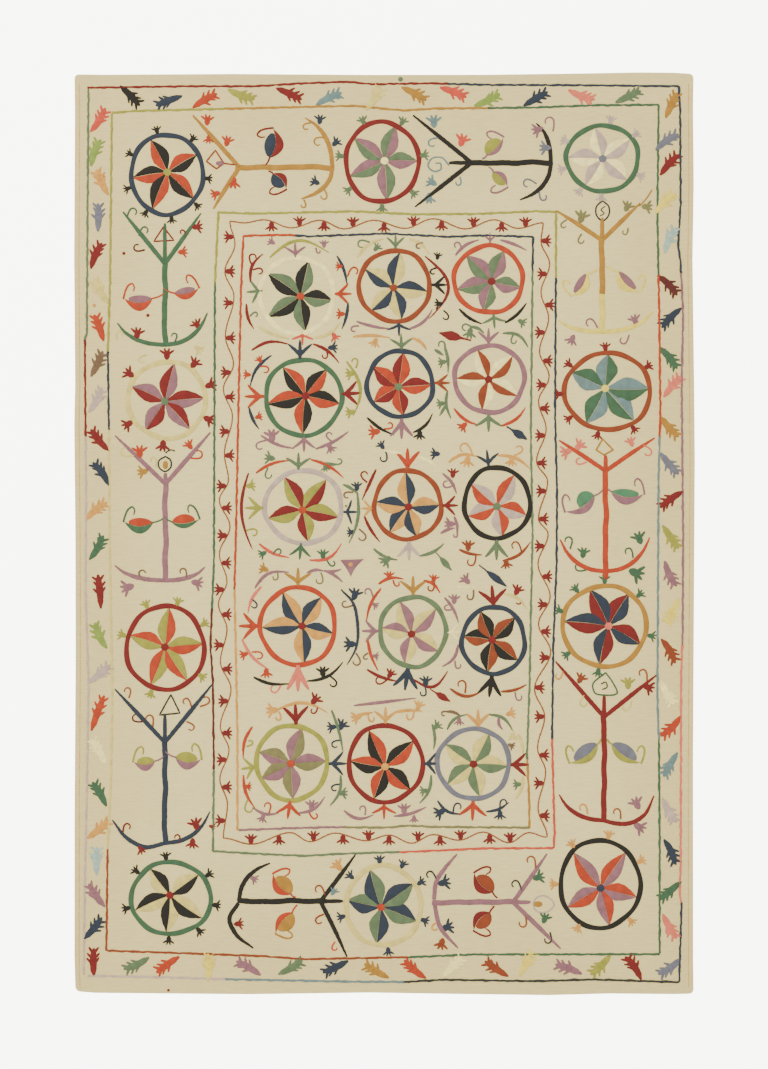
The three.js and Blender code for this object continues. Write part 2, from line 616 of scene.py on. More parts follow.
def groundMaterial():
    # Cream wool, tanner toward the edges, with slubs that run across and a fine plain weave.
    look = groundLook
    material, tree, shader = newMaterial("ground_wool", look["roughness"])
    place = addNode(tree, "ShaderNodeTexCoord").outputs["Object"]
    parts = addNode(tree, "ShaderNodeSeparateXYZ")
    tree.links.new(place, parts.inputs[0])
    sideways = mathNode(tree, "ABSOLUTE", parts.outputs[0], 0.0)
    lengthways = mathNode(tree, "ABSOLUTE", parts.outputs[1], 0.0)
    nearSide = rampNode(tree, sideways, *look["nearSide"])
    nearEnd = rampNode(tree, lengthways, *look["nearEnd"])
    near = mathNode(tree, "MAXIMUM", nearSide, nearEnd)
    cream = (*linear(look["cream"]), 1)
    tan = (*linear(look["tan"]), 1)
    colour = mixNode(tree, "MIX", near, cream, tan)
    patches = shadeNode(tree, place, look["patches"])
    slubs = shadeNode(tree, stretched(tree, place, look["slubStretch"]), look["slubs"])
    specks = shadeNode(tree, place, look["specks"])
    shade = mathNode(tree, "MULTIPLY", mathNode(tree, "MULTIPLY", patches, slubs), specks)
    tree.links.new(shaded(tree, colour, shade), shader.inputs["Base Color"])
    warp = mathNode(tree, "SINE", mathNode(tree, "MULTIPLY", parts.outputs[0], look["warp"]), 0.0)
    weft = mathNode(tree, "SINE", mathNode(tree, "MULTIPLY", parts.outputs[1], look["weft"]), 0.0)
    bumpNode(tree, mathNode(tree, "MULTIPLY", warp, weft), look["bump"], look["bumpDepth"], shader)
    return material


def stitchMaterial():
    # Each wool's own colour, a little uneven, with ridges across the band where the stitches lie. The same
    # noise that raises the ridges in the bump darkens the colour between them, as painted shade.
    look = stitchLook
    material, tree, shader = newMaterial("stitched_wool", look["roughness"])
    wool = addNode(tree, "ShaderNodeAttribute", attribute_name="wool").outputs["Color"]
    across = addNode(tree, "ShaderNodeUVMap", uv_map="stitches").outputs["UV"]
    place = addNode(tree, "ShaderNodeTexCoord").outputs["Object"]
    threads = noiseNode(tree, stretched(tree, across, look["threadStretch"]), 1.0, 1.0)
    # Painted shade: the colour is darker where the thread noise is low, between the ridges that the bump
    # raises.
    grooveShade = rampNode(tree, threads, *look["threads"])
    shade = mathNode(tree, "MULTIPLY", grooveShade, shadeNode(tree, place, look["uneven"]))
    tree.links.new(shaded(tree, wool, shade), shader.inputs["Base Color"])
    bumpNode(tree, threads, look["bump"], look["bumpDepth"], shader)
    return material


ground = groundMaterial()
thread = stitchMaterial()
print("scene: materials ready")

clothObject = makeObject("woven_ground", *clothMesh(), ground, "ground_wool")
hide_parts("kilim")

# The turned edge's line of stitches, just inside each long side.
hemStitch = {"inset": 9.6, "end": 905, "half": 0.8, "colour": "tan", "step": 6.0}


def hemLine():
    # A thin ribbon at the same inset all along both long sides.
    bundle = newBundle()
    for side, sign in (("left", -1), ("right", 1)):
        y = np.arange(-hemStitch["end"], hemStitch["end"], hemStitch["step"])
        x = sign * (reach(side, y) - hemStitch["inset"])
        ribbon(bundle, np.stack([x, y], axis=1), hemStitch["half"], hemStitch["colour"], ragged=0.2)
    return bundleObject("hem_stitching", bundle, thread)


# Frame lines, outermost first. For each side: [place, reach] rows, and [colour, up to this place] rows.
frameLook = {
    "half": 2.5,
    "halfWave": 60,
    "halfWander": 0.35,
    "wave": 38,
    "wander": 0.5,
    "step": 5,
    "shortest": 3,
}
frameLines = {
    "first": {
        "top": (
            [(-593, 892), (-400, 895), (-260, 895), (-160, 901), (-75, 904), (-20, 899), (90, 901),
             (200, 898), (400, 897), (589, 895)],
            [("crimson", 126), ("navy", 700)],
        ),
        "right": (
            [(-895, 590), (-740, 595), (-720, 591), (-660, 593), (-280, 594), (-200, 597), (0, 598),
             (300, 595), (440, 598), (540, 593), (580, 588), (660, 593), (850, 592), (895, 589)],
            [("navy", -737), ("pink", -222), ("mauve", 522), ("navy", 1000)],
        ),
        "bottom": (
            [(-592, -883), (-440, -886), (-317, -890), (-60, -895), (40, -895.5), (120, -891), (300, -894),
             (420, -890.5), (590, -896)],
            [("palelilac", -317), ("blue", 40), ("slate", 700)],
        ),
        "left": (
            [(-880, -600), (-700, -598), (-520, -594), (-300, -590.5), (-120, -596.5), (80, -595.6),
             (388, -598), (400, -594), (640, -592.6), (890, -590.7)],
            [("palelilac", 195), ("crimson", 388), ("sage", 1000)],
        ),
    },
    "second": {
        "top": (
            [(-543, 842), (-500, 845.5), (-320, 850), (-60, 856), (40, 846.5), (100, 850.5), (300, 852.5),
             (420, 857), (549, 858)],
            [("lime", -318), ("mustard", 208), ("dkgreen", 700)],
        ),
        "right": (
            [(-838, 551), (-600, 551), (-410, 549.5), (-330, 546.5), (120, 549), (240, 552.5), (420, 550.5),
             (640, 546.5), (858, 549)],
            [("dkgreen", -410), ("blue", 195), ("orange", 518), ("dkgreen", 1000)],
        ),
        "bottom": (
            [(-553, -833), (-400, -838), (-240, -844), (-160, -850), (50, -846), (180, -840.5), (551, -840)],
            [("rust", 48), ("dkgreen", 700)],
        ),
        "left": (
            [(-833, -555), (-630, -552.5), (-500, -546), (-320, -543), (0, -548.6), (208, -550), (365, -552),
             (500, -547.6), (840, -544)],
            [("rust", -630), ("khaki", 208), ("navy", 365), ("lime", 1000)],
        ),
    },
    "third": {
        "top": (
            [(-332, 643), (-260, 640.5), (-60, 645), (60, 639), (190, 640), (300, 645), (345, 644)],
            [("lime", 700)],
        ),
        "right": (
            [(-628, 339), (-600, 341), (-410, 336), (-220, 338.5), (-60, 345), (80, 346), (240, 342),
             (512, 343.5), (645, 344)],
            [("coral", -410), ("navy", 512), ("lime", 1000)],
        ),
        "bottom": (
            [(-342, -634), (-260, -639), (-160, -643.5), (-80, -639), (60, -635), (200, -628.5),
             (338, -628)],
            [("sage", 30), ("coral", 700)],
        ),
        "left": (
            [(-634, -342), (-470, -340), (-300, -342), (-220, -347), (-150, -344), (-60, -340),
             (380, -338.5), (502, -338), (643, -331)],
            [("sage", -470), ("maroon", -150), ("dkgreen", 502), ("lime", 1000)],
        ),
    },
    "fourth": {
        "top": (
            [(-281, 596), (-200, 598), (-150, 595), (5, 600.5), (130, 594), (200, 597), (298, 594)],
            [("orange", -178), ("navy", 700)],
        ),
        "right": (
            [(-588, 290.5), (-540, 290.5), (-440, 286), (-300, 291), (-140, 294), (0, 297), (200, 293.5),
             (526, 297), (594, 298)],
            [("mustard", -450), ("sage", 526), ("navy", 1000)],
        ),
        "bottom": (
            [(-290, -592), (-200, -588.5), (-100, -586), (0, -587), (50, -583), (100, -585.5), (290, -587)],
            [("mauve", -80), ("olive", 700)],
        ),
        "left": (
            [(-592, -293), (-400, -293), (-200, -297), (-110, -299), (0, -296), (100, -294), (300, -290),
             (500, -285.5), (596, -281)],
            [("tan", -110), ("orange", 1000)],
        ),
    },
}


def sideLine(bundle, rows, stretches, upright):
    # One side of a frame: its line is cut where the wool changes.
    look = frameLook
    table = np.array(rows, float)
    start = table[0, 0]
    for colour, until in stretches:
        stop = min(until, table[-1, 0])
        if stop - start < look["shortest"]:
            continue
        place = np.linspace(start, stop, max(4, round((stop - start) / look["step"])))
        out = np.interp(place, table[:, 0], table[:, 1])
        out = out + wobble(place, bundle["strips"] + 50, look["wave"], look["wander"])
        path = np.stack([out, place] if upright else [place, out], axis=1)
        half = look["half"] + wobble(place, bundle["strips"] + 90, look["halfWave"], look["halfWander"])
        ribbon(bundle, path, half, colour)
        start = stop


def frameObject():
    # Each line's four sides, one after another.
    bundle = newBundle()
    for sides in frameLines.values():
        for side, (rows, stretches) in sides.items():
            sideLine(bundle, rows, stretches, side in ("left", "right"))
    return bundleObject("frame_lines", bundle, thread)


# Round star flowers: ring x, y, half width, half height, star x, y, petal headings, and the wools of the
# ring, the petals' half that lies counter-clockwise, their other half, and the heart, and the petals'
# fullness where it isn't 1.
flower = {
    "band": 10.4,
    "bandLobes": 7,
    "bandWander": 0.5,
    "ringLobes": ((3, 1.0), (5, 0.8), (9, 0.4)),
    "ringSteps": 96,
    "overlap": 3.0,
    "petal": 18.5,
    "petalSteps": 20,
    "petalStart": 0.03,
    "petalBend": 0.03,
    "petalWidths": (0.95, 1.07),
    "petalPeaks": (0.36, 0.46),
    "wedge": 0.72,
    "wedgePower": 6,
    "heart": 8.0,
    "claw": 19,
    "clawSink": 2,
}
borderFlowers = [
    (-434, 719, 77, 85, -433, 723, (31, 117, 189, 248, 315), "navy", "orange", "black", "lime"),
    (-4, 744, 78, 85, 1, 746, (0, 73, 143, 204, 273), "crimson", "sage", "mauve", "cream"),
    (437, 751, 77, 71, 437, 750, (36, 104, 179, 238, 320), "dkgreen", "cream", "lilac", "peri"),
    (-434, 268, 83, 82, -438, 265, (5, 76, 156, 236, 312), "khaki", "crimson", "mauve", "sage"),
    (447, 285, 91, 82, 442, 291, (0, 85, 155, 242, 312), "rust", "blue", "dkgreen", "yellow", 1.35),
    (-437, -228, 83, 89, -438, -226, (5, 84, 162, 250, 304), "crimson", "lime", "orange", "crimson"),
    (441, -184, 89, 86, 449, -184, (58, 117, 174, 257, 330), "mustard", "crimson", "navy", "pink", 1.15),
    (-426, -728, 85, 77, -428, -722, (36, 127, 204, 265, 325), "dkgreen", "khaki", "black", "crimson"),
    (-1, -743, 80, 85, -6, -746, (36, 106, 168, 263, 338), "khaki", "navy", "sage", "orange", 1.2),
    (432, -700, 85, 93, 433, -708, (55, 127, 210, 283, 346), "black", "orange", "mauve", "navy"),
]
fieldFlowers = [
    (-174, 477, 79, 81, -167, 475, (77, 145, 212, 278, 353), "cream", "black", "sage", "orange"),
    (21, 496, 76, 76, 19, 492, (79, 146, 225, 284, 353), "rust", "navy", "khaki", "rust"),
    (209, 509, 74, 72, 215, 505, (68, 134, 193, 255, 348), "orange", "sage", "mauve", "crimson"),
    (-161, 273, 81, 81, -157, 276, (51, 128, 192, 266, 347), "dkgreen", "black", "orange", "crimson"),
    (32, 300, 71, 71, 29, 294, (4, 82, 141, 211, 279), "navy", "crimson", "orange", "sage"),
    (211, 310, 75, 72, 209, 309, (45, 111, 179, 259, 331), "mauve", "cream", "rust", "crimson", 0.87),
    (-161, 54, 82, 78, -163, 48, (52, 119, 194, 280, 349), "lilac", "lime", "crimson", "orange"),
    (47, 58, 72, 74, 49, 54, (4, 95, 172, 234, 286), "rust", "tan", "navy", "crimson"),
    (226, 62, 71, 76, 226, 55, (61, 138, 198, 279, 343), "black", "orange", "lilac", "sage"),
    (-172, -184, 80, 83, -164, -184, (56, 119, 182, 273, 346), "orange", "navy", "tan", "crimson"),
    (58, -195, 71, 75, 55, -200, (46, 110, 169, 258, 328), "sage", "khaki", "mauve", "crimson"),
    (219, -213, 68, 72, 216, -212, (45, 112, 173, 262, 322), "navy", "rust", "black", "crimson"),
    (-184, -457, 76, 80, -186, -459, (4, 73, 160, 207, 273), "lime", "mauve", "olive", "orange"),
    (3, -459, 79, 82, 2, -465, (42, 114, 170, 251, 317), "crimson", "black", "orange", "tan"),
    (179, -459, 77, 75, 179, -460, (63, 145, 219, 281, 357), "peri", "khaki", "sage", "crimson"),
]


def petal(bundle, centre, heading, size, leftWool, rightWool, fullness, seed):
    # Each half lies between the petal's midrib and an outer edge that opens by a sine up to its widest place
    # and closes by a cosine to a point, and it keeps to its own wedge.
    chance = np.random.default_rng(seed)
    ahead = direction(heading)
    side = leftOf(ahead)
    t = np.linspace(flower["petalStart"], 1, flower["petalSteps"])
    bend = chance.uniform(-flower["petalBend"], flower["petalBend"]) * size * np.sin(math.pi * t)
    power = flower["wedgePower"]
    middle = centre + ahead * (t * size)[:, None] + side * bend[:, None]
    for sign, colour in ((1, leftWool), (-1, rightWool)):
        width = flower["petal"] * fullness * chance.uniform(*flower["petalWidths"])
        peak = chance.uniform(*flower["petalPeaks"])
        opening = np.sin(math.pi / 2 * np.clip(t / peak, 0, 1)) ** 0.8
        closing = np.cos(math.pi / 2 * np.clip((t - peak) / (1 - peak), 0, 0.995)) ** 0.95
        bow = width * opening * closing
        wedge = flower["wedge"] * t * size
        bow = (bow**-power + wedge**-power) ** (-1 / power)
        bow = np.maximum(bow + wobble(t * size, seed + sign, 14, 0.35), stitch["least"] * 2)
        outer = middle + side * (sign * bow)[:, None]
        if sign > 0:
            strip(bundle, middle, outer, colour)
        else:
            strip(bundle, outer, middle, colour)


def starFlower(bundle, row, seed):
    # The ring is an ellipse that wanders a little, and each petal ends where its heading meets it.
    x, y, halfWidth, halfHeight, starX, starY, headings = row[:7]
    ringWool, leftWool, rightWool, heartWool, *fullness = row[7:]
    angle = np.linspace(0, 2 * math.pi, flower["ringSteps"] + 1)[:-1]
    starts = np.random.default_rng(abs(seed)).uniform(0, 2 * math.pi, 3)
    waves = zip(flower["ringLobes"], starts)
    wander = sum(out * np.sin(lobes * angle + start) for (lobes, out), start in waves)
    half = flower["band"] / 2
    ring = np.stack(
        [
            x + (halfWidth - half + wander) * np.cos(angle),
            y + (halfHeight - half + wander) * np.sin(angle),
        ],
        axis=1,
    )
    centre = np.array([starX, starY], float)
    inner = np.array([halfWidth, halfHeight], float) - flower["band"] + flower["overlap"]
    for number, heading in enumerate(headings):
        ahead = direction(heading) / inner
        start = (centre - (x, y)) / inner
        # The distance at which the heading leaves the ellipse, from a quadratic.
        a, b, c = ahead @ ahead, ahead @ start, start @ start - 1
        size = (-b + math.sqrt(b * b - a * c)) / a
        petal(bundle, centre, heading, size, leftWool, rightWool, *(fullness or [1.0]), seed * 10 + number)
    bandHalf = half + flower["bandWander"] * np.sin(flower["bandLobes"] * angle + starts[1])
    ribbon(bundle, ring, bandHalf, ringWool, closed=True, ragged=0.0)
    dot(bundle, centre, flower["heart"], heartWool)


def flowersObject(name, rows, seed):
    # One flower a row, each with a seed of its own.
    bundle = newBundle()
    for number, row in enumerate(rows):
        starFlower(bundle, row, seed + number)
    return bundleObject(name, bundle, thread)


# Small claws round each border flower: wool, the headings at which they stand, and a size if unusual.
flowerClaws = [
    ("black", (103, 54, -6, -46, -84, -119, -160, 151), 17),
    ("sage", (115, 63, 9, -45, -90, -140, 172)),
    ("lilac", (78, 36, -25, -92, -125, -165, 155)),
    ("crimson", (90, 53, 19, -25, -95, -148, 145), 24),
    ("crimson", (93, 145, 32, -177, -145, -103, -55)),
    ("lime", (114, 75, 32, -38, -108, 163)),
    ("dkgreen", (90, 128, 42, -12, -98, -143, 161)),
    ("black", (97, 142, 32, -9, -49, -93, -167)),
    ("navy", (95, 65, 138, 32, -20, -165, -84)),
    ("tan", (125, 80, 30, -50, -117, 180)),
]


def flowerClawsObject():
    # Each claw stands where its heading leaves an ellipse just inside the ring's rim.
    bundle = newBundle()
    for row, (colour, headings, *ownSize) in zip(borderFlowers, flowerClaws):
        x, y, halfWidth, halfHeight = row[:4]
        rimX, rimY = halfWidth - flower["clawSink"], halfHeight - flower["clawSink"]
        size = ownSize[0] if ownSize else flower["claw"]
        for heading in headings:
            ahead = direction(heading)
            rim = 1 / math.hypot(ahead[0] / rimX, ahead[1] / rimY)
            claw(bundle, (x + ahead[0] * rim, y + ahead[1] * rim), heading, size, colour)
    return bundleObject("flower_claws", bundle, thread)


# Trees. The foot's x and y, the heading, and along the trunk its start, fork and top. The ends of the two
# crown arms and the two foot arms are (to the left of the heading, along it).
# Leaves: near end, far end, bow of the outer edge, bow of the lobe, the lobe's share of the length, and the
# wools of the outer part, the lobe and the hook. Claws: x, y, heading, size, wool. Hooks: the same with a
# turn, 1 to the left and -1 to the right, before the wool.
treeLook = {
    "overlap": 4,
    "step": 6,
    "shortest": 3,
    "trunk": 5.8,
    "trunkWave": 150,
    "trunkWander": 1.2,
    "stem": 4.3,
    "stemShape": (1.1, 1.1, 1, 1, 1, 0.95, 0.85, 0.6),
    "branch": 4.8,
    "crownBend": (0.5, 0.48),
    "crownTaper": (0.9, 0.35),
    "armTaper": (0.9, 0.3),
    "leafSteps": 20,
    "leafMiddle": 0.35,
    "leafStem": 1.9,
    "leafStemReach": 12,
    "leafHook": 1.3,
    "leafHookHalf": 2.2,
}
trees = [
    {
        "foot": (-438, 378), "heading": 90, "along": (-3, 166, 243), "wool": "dkgreen",
        "crown": ((84, 266), (-72, 263)), "arms": ((95, 44), (-85, 64)),
        "leaves": [(-463, 470, -519, 471, 25, 7, 0.86, "orange", "mauve", "orange"),
                   (-419, 480, -371, 492, -17, -8, 0.86, "orange", "mauve", "orange")],
        "claws": [(-384, 613, 5, 22, "crimson"), (-412, 563, 5, 20, "orange"),
                  (-495, 390, 80, 24, "crimson"), (-368, 410, 125, 22, "crimson"),
                  (-378, 376, 315, 20, "khaki")],
        "hooks": [(-514, 632, 70, 28, -1, "dkgreen"), (-490, 596, 70, 26, -1, "dkgreen"),
                  (-478, 568, 190, 26, -1, "maroon"), (-395, 598, 120, 16, 1, "crimson"),
                  (-418, 384, 70, 20, 1, "dkgreen"), (-534, 389, 90, 22, -1, "khaki"),
                  (-475, 358, 200, 22, 1, "khaki")],
    },
    {
        "foot": (-437, -93), "heading": 90, "along": (-3, 197, 215), "wool": "mauve",
        "crown": ((101, 290), (-90, 296)), "arms": ((101, 30), (-79, 27)),
        "leaves": [(-462, 22, -519, 25, 23, 9, 0.86, "dkgreen", "orange", "dkgreen"),
                   (-424, 23, -370, 30, -15, -14, 0.86, "dkgreen", "orange", "dkgreen")],
        "claws": [(-488, 152, 92, 26, "orange"), (-472, 126, 188, 22, "mustard"),
                  (-384, 170, 125, 20, "orange"), (-500, -103, 197, 28, "mauve"),
                  (-385, -95, 345, 24, "mauve")],
        "hooks": [(-500, 157, 183, 32, -1, "khaki"), (-456, 135, 85, 22, 1, "khaki"),
                  (-388, 152, 357, 30, 1, "orange"), (-478, -94, 135, 26, -1, "taupe"),
                  (-395, -88, 92, 24, 1, "taupe")],
    },
    {
        "foot": (-438, -618), "heading": 90, "along": (-3, 205, 256), "wool": "navy",
        "crown": ((100, 308), (-95, 318)), "arms": ((105, 46), (-90, 63)),
        "ownArm": {"left": [(-438, -618), (-475, -626), (-515, -607), (-543, -572)]},
        "leaves": [(-458, -455, -500, -455, 19, 10, 0.86, "mauve", "lime", "lime"),
                   (-417, -447, -366, -450, -23, -13, 0.86, "mauve", "lime", "lime")],
        "claws": [(-372, -592, 110, 26, "crimson"), (-382, -608, 265, 22, "crimson"),
                  (-490, -622, 300, 20, "crimson"), (-350, -583, 340, 14, "crimson")],
        "hooks": [(-510, -328, 75, 24, 1, "vine"), (-385, -345, 110, 24, 1, "vine"),
                  (-368, -345, 20, 28, 1, "vine"), (-462, -385, 88, 28, 1, "vine"),
                  (-395, -375, 335, 24, -1, "vine"), (-480, -375, 180, 28, -1, "maroon"),
                  (-522, -597, 80, 24, -1, "crimson"), (-410, -618, 80, 20, 1, "crimson")],
    },
    {
        "foot": (436, 404), "heading": 90, "along": (-3, 187, 228), "wool": "mustard",
        "lowWool": ("yellow", 76),
        "crown": ((91, 242), (-76, 257)), "arms": ((87, 23), (-101, 40)),
        "leaves": [(405, 521, 375, 477, 21, 7, 0.86, "yellow", "mauve", "yellow"),
                   (468, 525, 510, 485, -22, -7, 0.86, "yellow", "mauve", "yellow")],
        "claws": [(392, 622, 75, 26, "olive"), (482, 645, 65, 22, "olive"), (515, 655, 355, 22, "olive"),
                  (505, 418, 110, 22, "mauve"), (380, 398, 245, 22, "mauve")],
        "hooks": [(365, 628, 215, 20, 1, "olive"), (395, 600, 240, 22, 1, "olive"),
                  (488, 612, 260, 18, -1, "olive"), (427, 412, 120, 30, 1, "mauve"),
                  (490, 398, 250, 26, -1, "mauve")],
    },
    {
        "foot": (443, -75), "heading": 90, "along": (-15, 205, 232), "wool": "orange",
        "crown": ((93, 262), (-98, 267)), "arms": ((91, 64), (-88, 68)),
        "leaves": [(421, 77, 363, 45, 22, 19, 0.6, "mauve", "teal", "mauve"),
                   (454, 84, 519, 80, -24, -8, 0.86, "mauve", "teal", "mauve")],
        "claws": [(383, 168, 50, 24, "pink"), (375, 168, 200, 24, "pink"), (497, 175, 110, 20, "pink"),
                  (397, -48, 82, 22, "dkgreen"), (514, -20, 110, 26, "dkgreen"),
                  (490, -72, 335, 32, "dkgreen")],
        "hooks": [(518, 178, 330, 28, -1, "pink"), (405, 144, 200, 24, -1, "pink"),
                  (372, -30, 75, 28, 1, "dkgreen"), (498, -48, 100, 26, 1, "dkgreen"),
                  (408, -71, 190, 30, -1, "dkgreen")],
    },
    {
        "foot": (440, -573), "heading": 90, "along": (-3, 211, 250), "wool": "crimson",
        "crown": ((97, 318), (-105, 291)), "arms": ((90, 52), (-100, 50)),
        "ownArm": {"right": [(440, -573), (466, -579), (492, -578), (520, -562), (540, -523)]},
        "leaves": [(427, -420, 372, -457, 20, 15, 0.86, "lime", "peri", "lime"),
                   (455, -420, 513, -457, -18, -16, 0.86, "lime", "peri", "lime")],
        "claws": [(388, -298, 60, 22, "rust"), (488, -310, 92, 24, "lime"), (518, -302, 335, 24, "crimson"),
                  (510, -550, 115, 26, "mauve"), (500, -580, 330, 26, "mauve")],
        "hooks": [(358, -275, 250, 22, -1, "tan"), (400, -322, 240, 26, 1, "khaki"),
                  (526, -293, 95, 28, 1, "vine"), (495, -335, 250, 26, -1, "khaki"),
                  (407, -560, 100, 26, 1, "tan"), (473, -570, 92, 26, 1, "vine")],
    },
    {
        "foot": (-103, 733), "heading": 180, "along": (-3, 190, 190), "wool": "mustard",
        "crown": ((83, 238), (-104, 279)), "arms": ((63, 62), (-99, 55)),
        "leaves": [(-228, 752, -222, 810, -25, -14, 0.86, "crimson", "navy", "crimson"),
                   (-222, 720, -196, 690, 17, 16, 0.86, "crimson", "navy", "crimson")],
        "claws": [(-354, 817, 85, 22, "orange"), (-350, 798, 265, 18, "orange"),
                  (-316, 775, 75, 22, "orange"), (-300, 714, 265, 24, "orange"),
                  (-328, 683, 200, 20, "orange"), (-129, 819, 85, 20, "navy"), (-103, 776, 45, 20, "navy"),
                  (-129, 700, 155, 20, "navy")],
        "hooks": [(-145, 822, 190, 22, 1, "mustard"), (-115, 792, 178, 30, 1, "mustard"),
                  (-120, 690, 295, 24, -1, "mustard"), (-160, 668, 290, 18, -1, "mustard")],
    },
    {
        "foot": (334, 742), "heading": 180, "along": (-3, 163, 204), "wool": "black",
        "crown": ((88, 272), (-95, 276)), "arms": ((74, 62), (-79, 30)),
        "leaves": [(205, 757, 238, 793, -13, -18, 0.86, "mauve", "lime", "mauve"),
                   (218, 724, 246, 694, 14, 12, 0.86, "mauve", "lime", "mauve")],
        "claws": [(100, 812, 92, 26, "blue"), (105, 698, 150, 22, "blue"), (90, 682, 270, 22, "blue"),
                  (152, 775, 70, 26, "coral"), (318, 812, 200, 24, "mauve"), (334, 772, 180, 24, "peri")],
        "hooks": [(110, 792, 190, 28, 1, "blue"), (152, 714, 280, 20, -1, "blue"),
                  (338, 805, 85, 34, 1, "mauve"), (305, 700, 150, 30, 1, "peri"),
                  (310, 685, 280, 24, 1, "peri")],
    },
    {
        "foot": (-290, -734), "heading": 0, "along": (-3, 167, 208), "wool": "black",
        "crown": ((93, 233), (-111, 216)), "arms": ((76, 62), (-93, 30)),
        "ownArm": {"right": [(-291, -738), (-309, -769), (-296, -800), (-261, -828)]},
        "leaves": [(-186, -720, -221, -680, 21, 18, 0.86, "orange", "mustard", "orange"),
                   (-183, -757, -216, -798, -17, -19, 0.86, "orange", "mustard", "mustard")],
        "claws": [(-85, -672, 130, 24, "tan"), (-268, -685, 330, 18, "mauve"),
                  (-300, -780, 5, 20, "crimson"), (-105, -722, 60, 18, "blue")],
        "hooks": [(-118, -722, 110, 28, 1, "rust"), (-120, -760, 205, 26, 1, "rust"),
                  (-98, -815, 240, 20, 1, "coral")],
    },
    {
        "foot": (99, -736), "heading": 0, "along": (-3, 163, 194), "wool": "mauve",
        "crown": ((97, 227), (-93, 254)), "arms": ((96, 49), (-93, 51)),
        "ownArm": {"left": [(100, -730), (105, -694), (122, -668), (146, -640)],
                   "right": [(100, -735), (112, -785), (148, -828)]},
        "leaves": [(218, -716, 181, -678, 22, 17, 0.86, "crimson", "rust", "crimson"),
                   (212, -757, 180, -792, -20, -16, 0.86, "crimson", "rust", "crimson")],
        "claws": [(108, -700, 15, 26, "navy"), (115, -790, 20, 26, "navy"), (118, -808, 255, 24, "rust"),
                  (298, -690, 20, 24, "dkgreen"), (318, -778, 70, 22, "dkgreen")],
        "hooks": [(105, -690, 120, 26, 1, "slate"), (108, -775, 215, 22, 1, "tan"),
                  (275, -712, 110, 28, 1, "slate"), (303, -668, 95, 30, 1, "vine"),
                  (282, -762, 280, 28, -1, "vine"), (332, -796, 280, 26, -1, "slate")],
    },
]
# Shares of a foot arm's reach at which it is shaped: (to the side, along).
armShape = ((0, 0), (0.35, 0.08), (0.62, 0.27), (0.85, 0.6), (1, 1))
# A leaf's hook, in mm from its far end: (toward the near end, away from the outer edge).
leafCurl = ((-2, -1), (0, 6), (3, 14), (9, 21), (15, 23), (19, 19), (18, 11))


def curledLeaf(bundle, row, trunk, trunkAhead):
    # The crescent lies between its bowed outer edge and a shallower one; the lobe fills the other side. Both
    # are half sines, made fuller by a power below 1.
    nearX, nearY, farX, farY, outer, inner, lobeShare, outerWool, innerWool, hookWool = row
    near, far = np.array([nearX, nearY], float), np.array([farX, farY], float)
    chord = far - near
    size = np.linalg.norm(chord)
    ahead = chord / size
    side = leftOf(ahead)
    t = np.linspace(0, 1, treeLook["leafSteps"])
    base = near + chord * t[:, None]
    bow = np.sin(math.pi * t**0.9) ** 0.8
    outerEdge = base + side * (outer * bow)[:, None]
    middle = base + side * (outer * treeLook["leafMiddle"] * np.sin(math.pi * t))[:, None]
    lobeShape = np.sin(math.pi * np.clip(t / lobeShare, 0, 1)) ** 0.55
    lobe = base - side * (inner * lobeShape)[:, None]
    shown = slice(0, round(treeLook["leafSteps"] * lobeShare))
    if outer > 0:
        strip(bundle, middle, outerEdge, outerWool)
        strip(bundle, lobe[shown], middle[shown], innerWool)
    else:
        strip(bundle, outerEdge, middle, outerWool)
        strip(bundle, middle[shown], lobe[shown], innerWool)
    away = -side * np.sign(outer)
    curl = np.array(leafCurl) * (1.0, treeLook["leafHook"])
    hookPath = curve([far - ahead * toNear + away * up for toNear, up in curl], 2.0)
    hookHalf = spindle(len(hookPath), treeLook["leafHookHalf"], 1.0, 0.6)
    ribbon(bundle, hookPath, hookHalf, hookWool, ragged=0.15)
    foot = trunk + trunkAhead * ((near - trunk) @ trunkAhead) + away * treeLook["leafStemReach"]
    stemPath = curve([near + ahead * 3, near * 0.5 + foot * 0.5 - away * 1.5, foot], 2.5)
    ribbon(bundle, stemPath, treeLook["leafStem"], outerWool, ragged=0.15)


